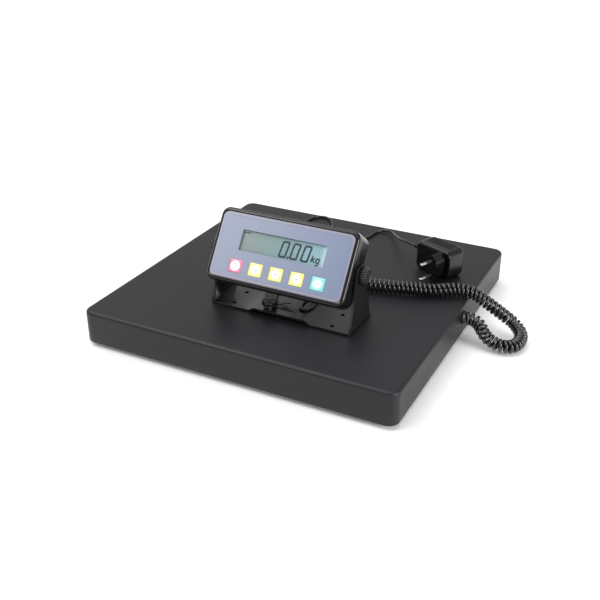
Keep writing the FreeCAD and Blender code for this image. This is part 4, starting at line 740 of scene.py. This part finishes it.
# ------------------------------------------------------------ display
# Backlit liquid crystal module on the main board, behind a clear window. The cells read zero
# kilograms, in dark blue.
cell_back, cell_front, figure_front, window_back = 0.0145, 0.0197, 0.01978, 0.0206
module_mesh = bmesh.new()
cut_sheet(module_mesh, rounded_loop(0.11, 0.0315, 0.001, 2, 0, window_middle), [], cell_back, cell_front, 0)
module = finish_mesh("display_cell", module_mesh, 30)
# The display is painted lighter towards the right, with a bright band near the right edge, as a painted
# reflection. Its faint glow uses the same colours.
lcd = film("lcd_backlight_painted_glare", (0.24, 0.29, 0.29), (0.62, 0.86, 0.95), 0.051, 0.3, 4000)
lcd_tree = lcd.node_tree
lcd_ramp = [node for node in lcd_tree.nodes if node.type == "VALTORGB"][0]
middle_tone = lcd_ramp.color_ramp.elements.new(0.55)
middle_tone.color = (0.18, 0.3, 0.31, 1)
painted_glare_tone = lcd_ramp.color_ramp.elements.new(0.93)
painted_glare_tone.color = (0.26, 0.44, 0.5, 1)
lcd_tree.links.new(lcd_ramp.outputs["Color"], lcd_tree.nodes["Principled BSDF"].inputs["Emission Color"])
lcd_tree.nodes["Principled BSDF"].inputs["Emission Strength"].default_value = 0.1
dress(module, lcd)
on_face(module)
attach(module, "indicator")
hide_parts("display_module")

DIGIT_HEIGHT, DIGIT_WIDTH, STROKE, SLANT = 0.0165, 0.0074, 0.0022, 0.12


def bar(mesh, start, end, thick, base_x, base_y):
    """One lit cell: a pointed bar between two spots, leaning with its figure."""
    a, b = Vector(start), Vector(end)
    ahead = (b - a).normalized()
    across = Vector((-ahead.y, ahead.x)) * thick / 2
    gap = ahead * thick * -0.25
    nose = ahead * thick * 0.5
    corners = [a + gap, a + gap + nose + across, b - gap - nose + across, b - gap, b - gap - nose - across,
               a + gap + nose - across]
    outline = [(base_x + p.x + p.y * SLANT, base_y + p.y) for p in corners]
    cut_sheet(mesh, outline[::-1], [], cell_front, figure_front, 0)


cells = bmesh.new()
for figure_x in (-0.0032, 0.0102, 0.0232):
    h, w = DIGIT_HEIGHT, DIGIT_WIDTH
    corners = [(0, 0), (w, 0), (w, h / 2), (w, h), (0, h), (0, h / 2)]
    for first, last in zip(corners, corners[1:] + corners[:1]):
        bar(cells, first, last, STROKE, figure_x, -0.0013)
point_x, point_low, point_high = 0.0062, -0.0022, 0.0002
point = [(point_x, point_low), (point_x + 0.0024, point_low), (point_x + 0.0027, point_high),
         (point_x + 0.0003, point_high)]
cut_sheet(cells, point, [], cell_front, figure_front, 0)
letters = [
    ((0, 0), (0, 0.0072)), ((0.0002, 0.0022), (0.0034, 0.0052)), ((0.0012, 0.003), (0.0036, 0)),
    ((0.0053, 0.0048), (0.0085, 0.0048)), ((0.0053, 0.0008), (0.0053, 0.0048)),
    ((0.0053, 0.0004), (0.0085, 0.0004)), ((0.0087, 0.005), (0.0087, -0.0018)),
    ((0.0055, -0.0023), (0.0085, -0.0023))]
small_stroke, dash_pitch, dash_length = 0.0015, 0.0023, 0.0019
for first, last in letters:
    bar(cells, first, last, small_stroke, 0.0352, -0.0006)
for number in range(3):
    dash = number * dash_pitch
    bar(cells, (dash, 0), (dash + dash_length, 0), small_stroke, -0.0492, 0.0168)
figures = finish_mesh("display_figures", cells, 30)
# The figures are painted a little lighter towards the right, as painted light.
navy = film("figure_navy", (0.003, 0.012, 0.035), (0.003, 0.015, 0.045), 0.05, 0.35, 3000)
dress(figures, navy)
on_face(figures)
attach(figures, "indicator")

window_mesh = bmesh.new()
cut_sheet(window_mesh, rounded_loop(0.105, 0.0265, 0.001, 2, 0, window_middle), [], window_back, film_back, 0)
window = finish_mesh("clear_window", window_mesh, 30)
clear = film("clear_acrylic", (0.02, 0.03, 0.03), (0.02, 0.03, 0.03), 0.05, 0.1, 40)
clear.node_tree.nodes["Principled BSDF"].inputs["Alpha"].default_value = 0.07
clear.node_tree.nodes["Principled BSDF"].inputs["Coat Weight"].default_value = 0
dress(window, clear)
on_face(window)
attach(window, "indicator")
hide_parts("display_window")


# ------------------------------------------------------------ keys
# Five embossed keys of printed polyester, in red, yellow and green round a pale centre. Each lies
# over a switch on the main board.
def key_print(name, rim, pale, reach, fade):
    """Printed key top: pale in the middle, its own colour towards the rim."""
    material, tree, shader, place = new_finish(name)
    shader.inputs["Roughness"].default_value = 0.35
    shader.inputs["Coat Weight"].default_value = 0.2
    flat = add_node(tree, "Mapping", {"Scale": (1, 1, 0)})
    distance = tree.nodes.new("ShaderNodeVectorMath")
    distance.operation = "LENGTH"
    span = add_node(tree, "MapRange", {"From Min": reach, "From Max": reach + fade})
    span.interpolation_type = "SMOOTHSTEP"
    tint = tones(tree, pale, rim)
    grain = add_node(tree, "TexNoise", {"Scale": 2500})
    bump = add_node(tree, "Bump", {"Strength": 0.1, "Distance": 0.00005})
    join(tree, (place, "Object", flat, "Vector"), (flat, "Vector", distance, 0),
         (distance, "Value", span, "Value"), (span, "Result", tint, "Fac"),
         (tint, "Color", shader, "Base Color"), (place, "Object", grain, "Vector"),
         (grain, "Fac", bump, "Height"), (bump, "Normal", shader, "Normal"))
    return material


white_print = (0.9, 0.89, 0.87)
key_looks = {
    "power": key_print("key_red_print", (0.7, 0.2, 0.3), (0.85, 0.78, 0.83), 0.0056, 0.0006),
    "hold": key_print("key_yellow_print", (0.78, 0.77, 0.2), white_print, 0.0018, 0.0062),
    "zero": key_print("key_teal_print", (0.18, 0.6, 0.58), (0.8, 0.88, 0.87), 0.0018, 0.0062)}
key_looks["tare"] = key_looks["unit"] = key_looks["hold"]
print_grey = film("print_grey", (0.3, 0.24, 0.3), (0.3, 0.24, 0.3), 0.05, 0.4, 2500)
print_pink = film("print_pink", (0.62, 0.3, 0.36), (0.62, 0.3, 0.36), 0.05, 0.4, 2500)
key_width, key_height, key_front, print_front = 0.0155, 0.0145, 0.0003, 0.00034
key_steps = [(0.0019, -0.004, 0.0004), (0.0019, -0.0006, 0.0004), (0, -0.0005, 0.0008), (0, 0.00005, 0.0008)]
key_steps += [(0.0001, 0.0002, 0.0008), (0.0004, key_front, 0.0009), (0.003, key_front, 0.0009)]
for name, (x, y) in zip(("power", "hold", "tare", "unit", "zero"), key_places):
    rings = []
    for inset, level, corner in key_steps:
        loop = rounded_loop(key_width - 2 * inset, key_height - 2 * inset, corner, 4)
        rings.append([(a, b, level) for a, b in loop])
    key = dress(lofted(f"key_top_{name}", rings, 50), key_looks[name])
    on_face(key, x, y, face_level)
    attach(key, f"key_{name}")
    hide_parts(f"key_{name}")
    mark = bmesh.new()
    if name == "power":
        arc = [math.radians(115 + 310 * n / 28) for n in range(29)]
        ring = [(0.0026 * math.cos(a), 0.0026 * math.sin(a)) for a in arc]
        ring += [(0.0021 * math.cos(a), 0.0021 * math.sin(a)) for a in arc[::-1]]
        stem = [(-0.00025, 0.0008), (0.00025, 0.0008), (0.00025, 0.0034), (-0.00025, 0.0034)]
        cut_sheet(mark, ring, [], key_front, print_front, 0)
        cut_sheet(mark, stem, [], key_front, print_front, 0)
    else:
        cut_sheet(mark, rounded_loop(0.0044, 0.0008, 0.0003, 3), [], key_front, print_front, 0)
    symbol = dress(finish_mesh(f"key_mark_{name}", mark, 30), print_pink if name == "power" else print_grey)
    on_face(symbol, x, y, face_level)
    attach(symbol, f"key_{name}")

# ------------------------------------------------------------ glands and plugs
# Moulded nylon strain reliefs: a clamped flange, then a ribbed taper that lets the cable bend
# slowly. The barrel plug's handle has finger grooves and the same taper.
gland_black = plastic("gland_black", (0.004, 0.004, 0.0045), 0.36, 700, 0.00012)


def ribbed_taper(start, end, root, tip, ribs):
    """Profile steps of a tapering sleeve with grooves between its ribs."""
    steps = []
    for number in range(ribs):
        for share, dip in ((0.0, 0), (0.55, 0), (0.62, 1), (0.93, 1)):
            along = (number + share) / ribs
            radius = root + (tip - root) * along
            steps.append((start + (end - start) * along, radius - dip * 0.12 * root))
    steps.append((end, tip))
    return steps


gland_profile = [(0.0041, 0.0004), (0.0041, 0.004), (0.0085, 0.004), (0.0085, 0.0063), (0.0087, 0.0065),
                 (0.0104, 0.0065), (0.011, 0.0055)]
gland_profile += ribbed_taper(0.0111, 0.023, 0.005, 0.0032, 5) + [(0.023, 0.0005)]
relief = turned("indicator_strain_relief", gland_profile, pivot + gland_across, -out_face)
dress(relief, gland_black)
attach(relief, "indicator")
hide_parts("indicator_gland")

plug_profile = [(-0.0032, 0.0009), (-0.0032, 0.00272), (0.0063, 0.00272), (0.0063, 0.0038), (0.0073, 0.0046)]
for groove in [0.0075 + 0.0012 * number for number in range(8)]:
    plug_profile += [(groove, 0.0046), (groove + 0.0008, 0.0046), (groove + 0.001, 0.0043)]
plug_profile += [(0.0223, 0.0046), (0.0225, 0.0032)]
plug_profile += ribbed_taper(0.0226, 0.0313, 0.0028, 0.0021, 4) + [(0.0313, 0.0005)]
plug = turned("barrel_plug_handle", plug_profile, pivot + jack_across, -out_face)
dress(plug, gland_black)
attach(plug, "indicator")
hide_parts("barrel_plug")

port_profile = [(-0.009, 0.0024), (-0.009, 0.005), (0, 0.005), (0, 0.0076), (0.0004, 0.008), (0.0018, 0.008),
                (0.0034, 0.0068), (0.004, 0.0062), (0.004, 0.0024)]
port_place = Vector((cover_size / 2, 0.02, 0.027))
port = turned("platform_cord_port", port_profile, port_place, Vector((1, 0, 0)))
dress(port, gland_black)
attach(port, "platform")
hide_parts("platform_gland")

# ------------------------------------------------------------ mains adapter
# Plug-in power supply for a European socket: two glued shells with a six-sided nose, two nickel
# pins in insulating sleeves, and cooling ribs on the long edge. It lies on its side.
adapter_turn = math.radians(-23)
adapter_frame = Matrix.Translation((0.135, 0.0897, 0.0441)) @ Matrix.Rotation(adapter_turn, 4, "Z")
adapter_black = plastic("adapter_black", (0.003, 0.003, 0.0036), 0.24, 900, 0.0002, coat=0.06, shine=0.36)
for node, name in (("adapter_face_shell", "adapter_face_half"), ("adapter_back_shell", "adapter_back_half")):
    shell = dress(softened(node, name, 0.0004, angle=30), adapter_black)
    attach(shell, "platform")
    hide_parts(node)
first_rib, rib_pitch, rib_root, rib_crest = -0.018, 0.0027, 0.0355, 0.0365
rib_mesh = bmesh.new()
for number in range(14):
    rib = rounded_loop(0.0012, 0.0145, 0.0005, 3, first_rib + rib_pitch * number, 0.0038)
    cut_sheet(rib_mesh, rib, [], rib_root, rib_crest, 0)
ribs = dress(finish_mesh("adapter_cooling_ribs", rib_mesh, 40), adapter_black)
ribs.matrix_world = adapter_frame
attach(ribs, "platform")
nickel = plated("pin_nickel", (0.78, 0.77, 0.75), 0.16, (1, 1, 1))
dress(nodes["adapter_pins"], nickel)
sleeve_black = plastic("sleeve_black", (0.012, 0.012, 0.012), 0.5, 700, 0.0001)
dress(nodes["adapter_pin_sleeves"], sleeve_black)
relief_root = adapter_frame @ Vector((-0.0265, 0.0045, 0.018))
relief_way = adapter_frame.to_3x3() @ Vector((-1, 0, 0))
adapter_profile = [(-0.003, 0.0004), (-0.003, 0.0026), (0, 0.0026), (0, 0.004)]
adapter_profile += ribbed_taper(0.0002, 0.0168, 0.004, 0.0028, 6) + [(0.017, 0.0026), (0.017, 0.0005)]
adapter_relief = turned("adapter_strain_relief", adapter_profile, relief_root, relief_way)
dress(adapter_relief, gland_black)
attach(adapter_relief, "platform")
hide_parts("adapter_relief")

# ------------------------------------------------------------ floor and light
# Pale seamless table under one wide soft light from above, with a softbox at the right and a
# smaller one at the front left, and even light all round.
floor_mesh = bmesh.new()
table_size, table_corner, table_under, table_top = 12, 1, -0.02, -0.0003
cut_sheet(floor_mesh, rounded_loop(table_size, table_size, table_corner, 4), [], table_under, table_top, 0)
floor = finish_mesh("studio_floor", floor_mesh)
floor_white = film("studio_white", (0.88, 0.88, 0.88), (0.88, 0.88, 0.88), 6, 0.75, 12)
floor_shader = floor_white.node_tree.nodes["Principled BSDF"]
floor_shader.inputs["Emission Color"].default_value = (1, 1, 1, 1)
floor_shader.inputs["Emission Strength"].default_value = 0.06
dress(floor, floor_white)
sun = bpy.data.objects.new("high_window", bpy.data.lights.new("high_window", "SUN"))
bpy.context.scene.collection.objects.link(sun)
sun.rotation_euler = Vector((0.35, 0.02, -1)).to_track_quat("-Z", "Y").to_euler()
sun.data.energy = 2.0
sun.data.angle = math.radians(70)
scale_middle = Vector((0.05, -0.05, 0.06))
for name, spot, size, power in (("right_softbox", (2.2, -0.55, 0.8), 0.9, 34),
                                ("left_softbox", (-1.05, -1.1, 1.7), 0.7, 9)):
    lamp = bpy.data.objects.new(name, bpy.data.lights.new(name, "AREA"))
    bpy.context.scene.collection.objects.link(lamp)
    lamp.location = spot
    lamp.rotation_euler = (scale_middle - Vector(spot)).to_track_quat("-Z", "Y").to_euler()
    lamp.data.size = size
    lamp.data.energy = power
world = bpy.data.worlds.new("studio")
bpy.context.scene.world = world
world.use_nodes = True
world.node_tree.nodes["Background"].inputs["Color"].default_value = (1, 1, 1, 1)
world.node_tree.nodes["Background"].inputs["Strength"].default_value = 0.58
bpy.context.scene.view_settings.view_transform = "Standard"
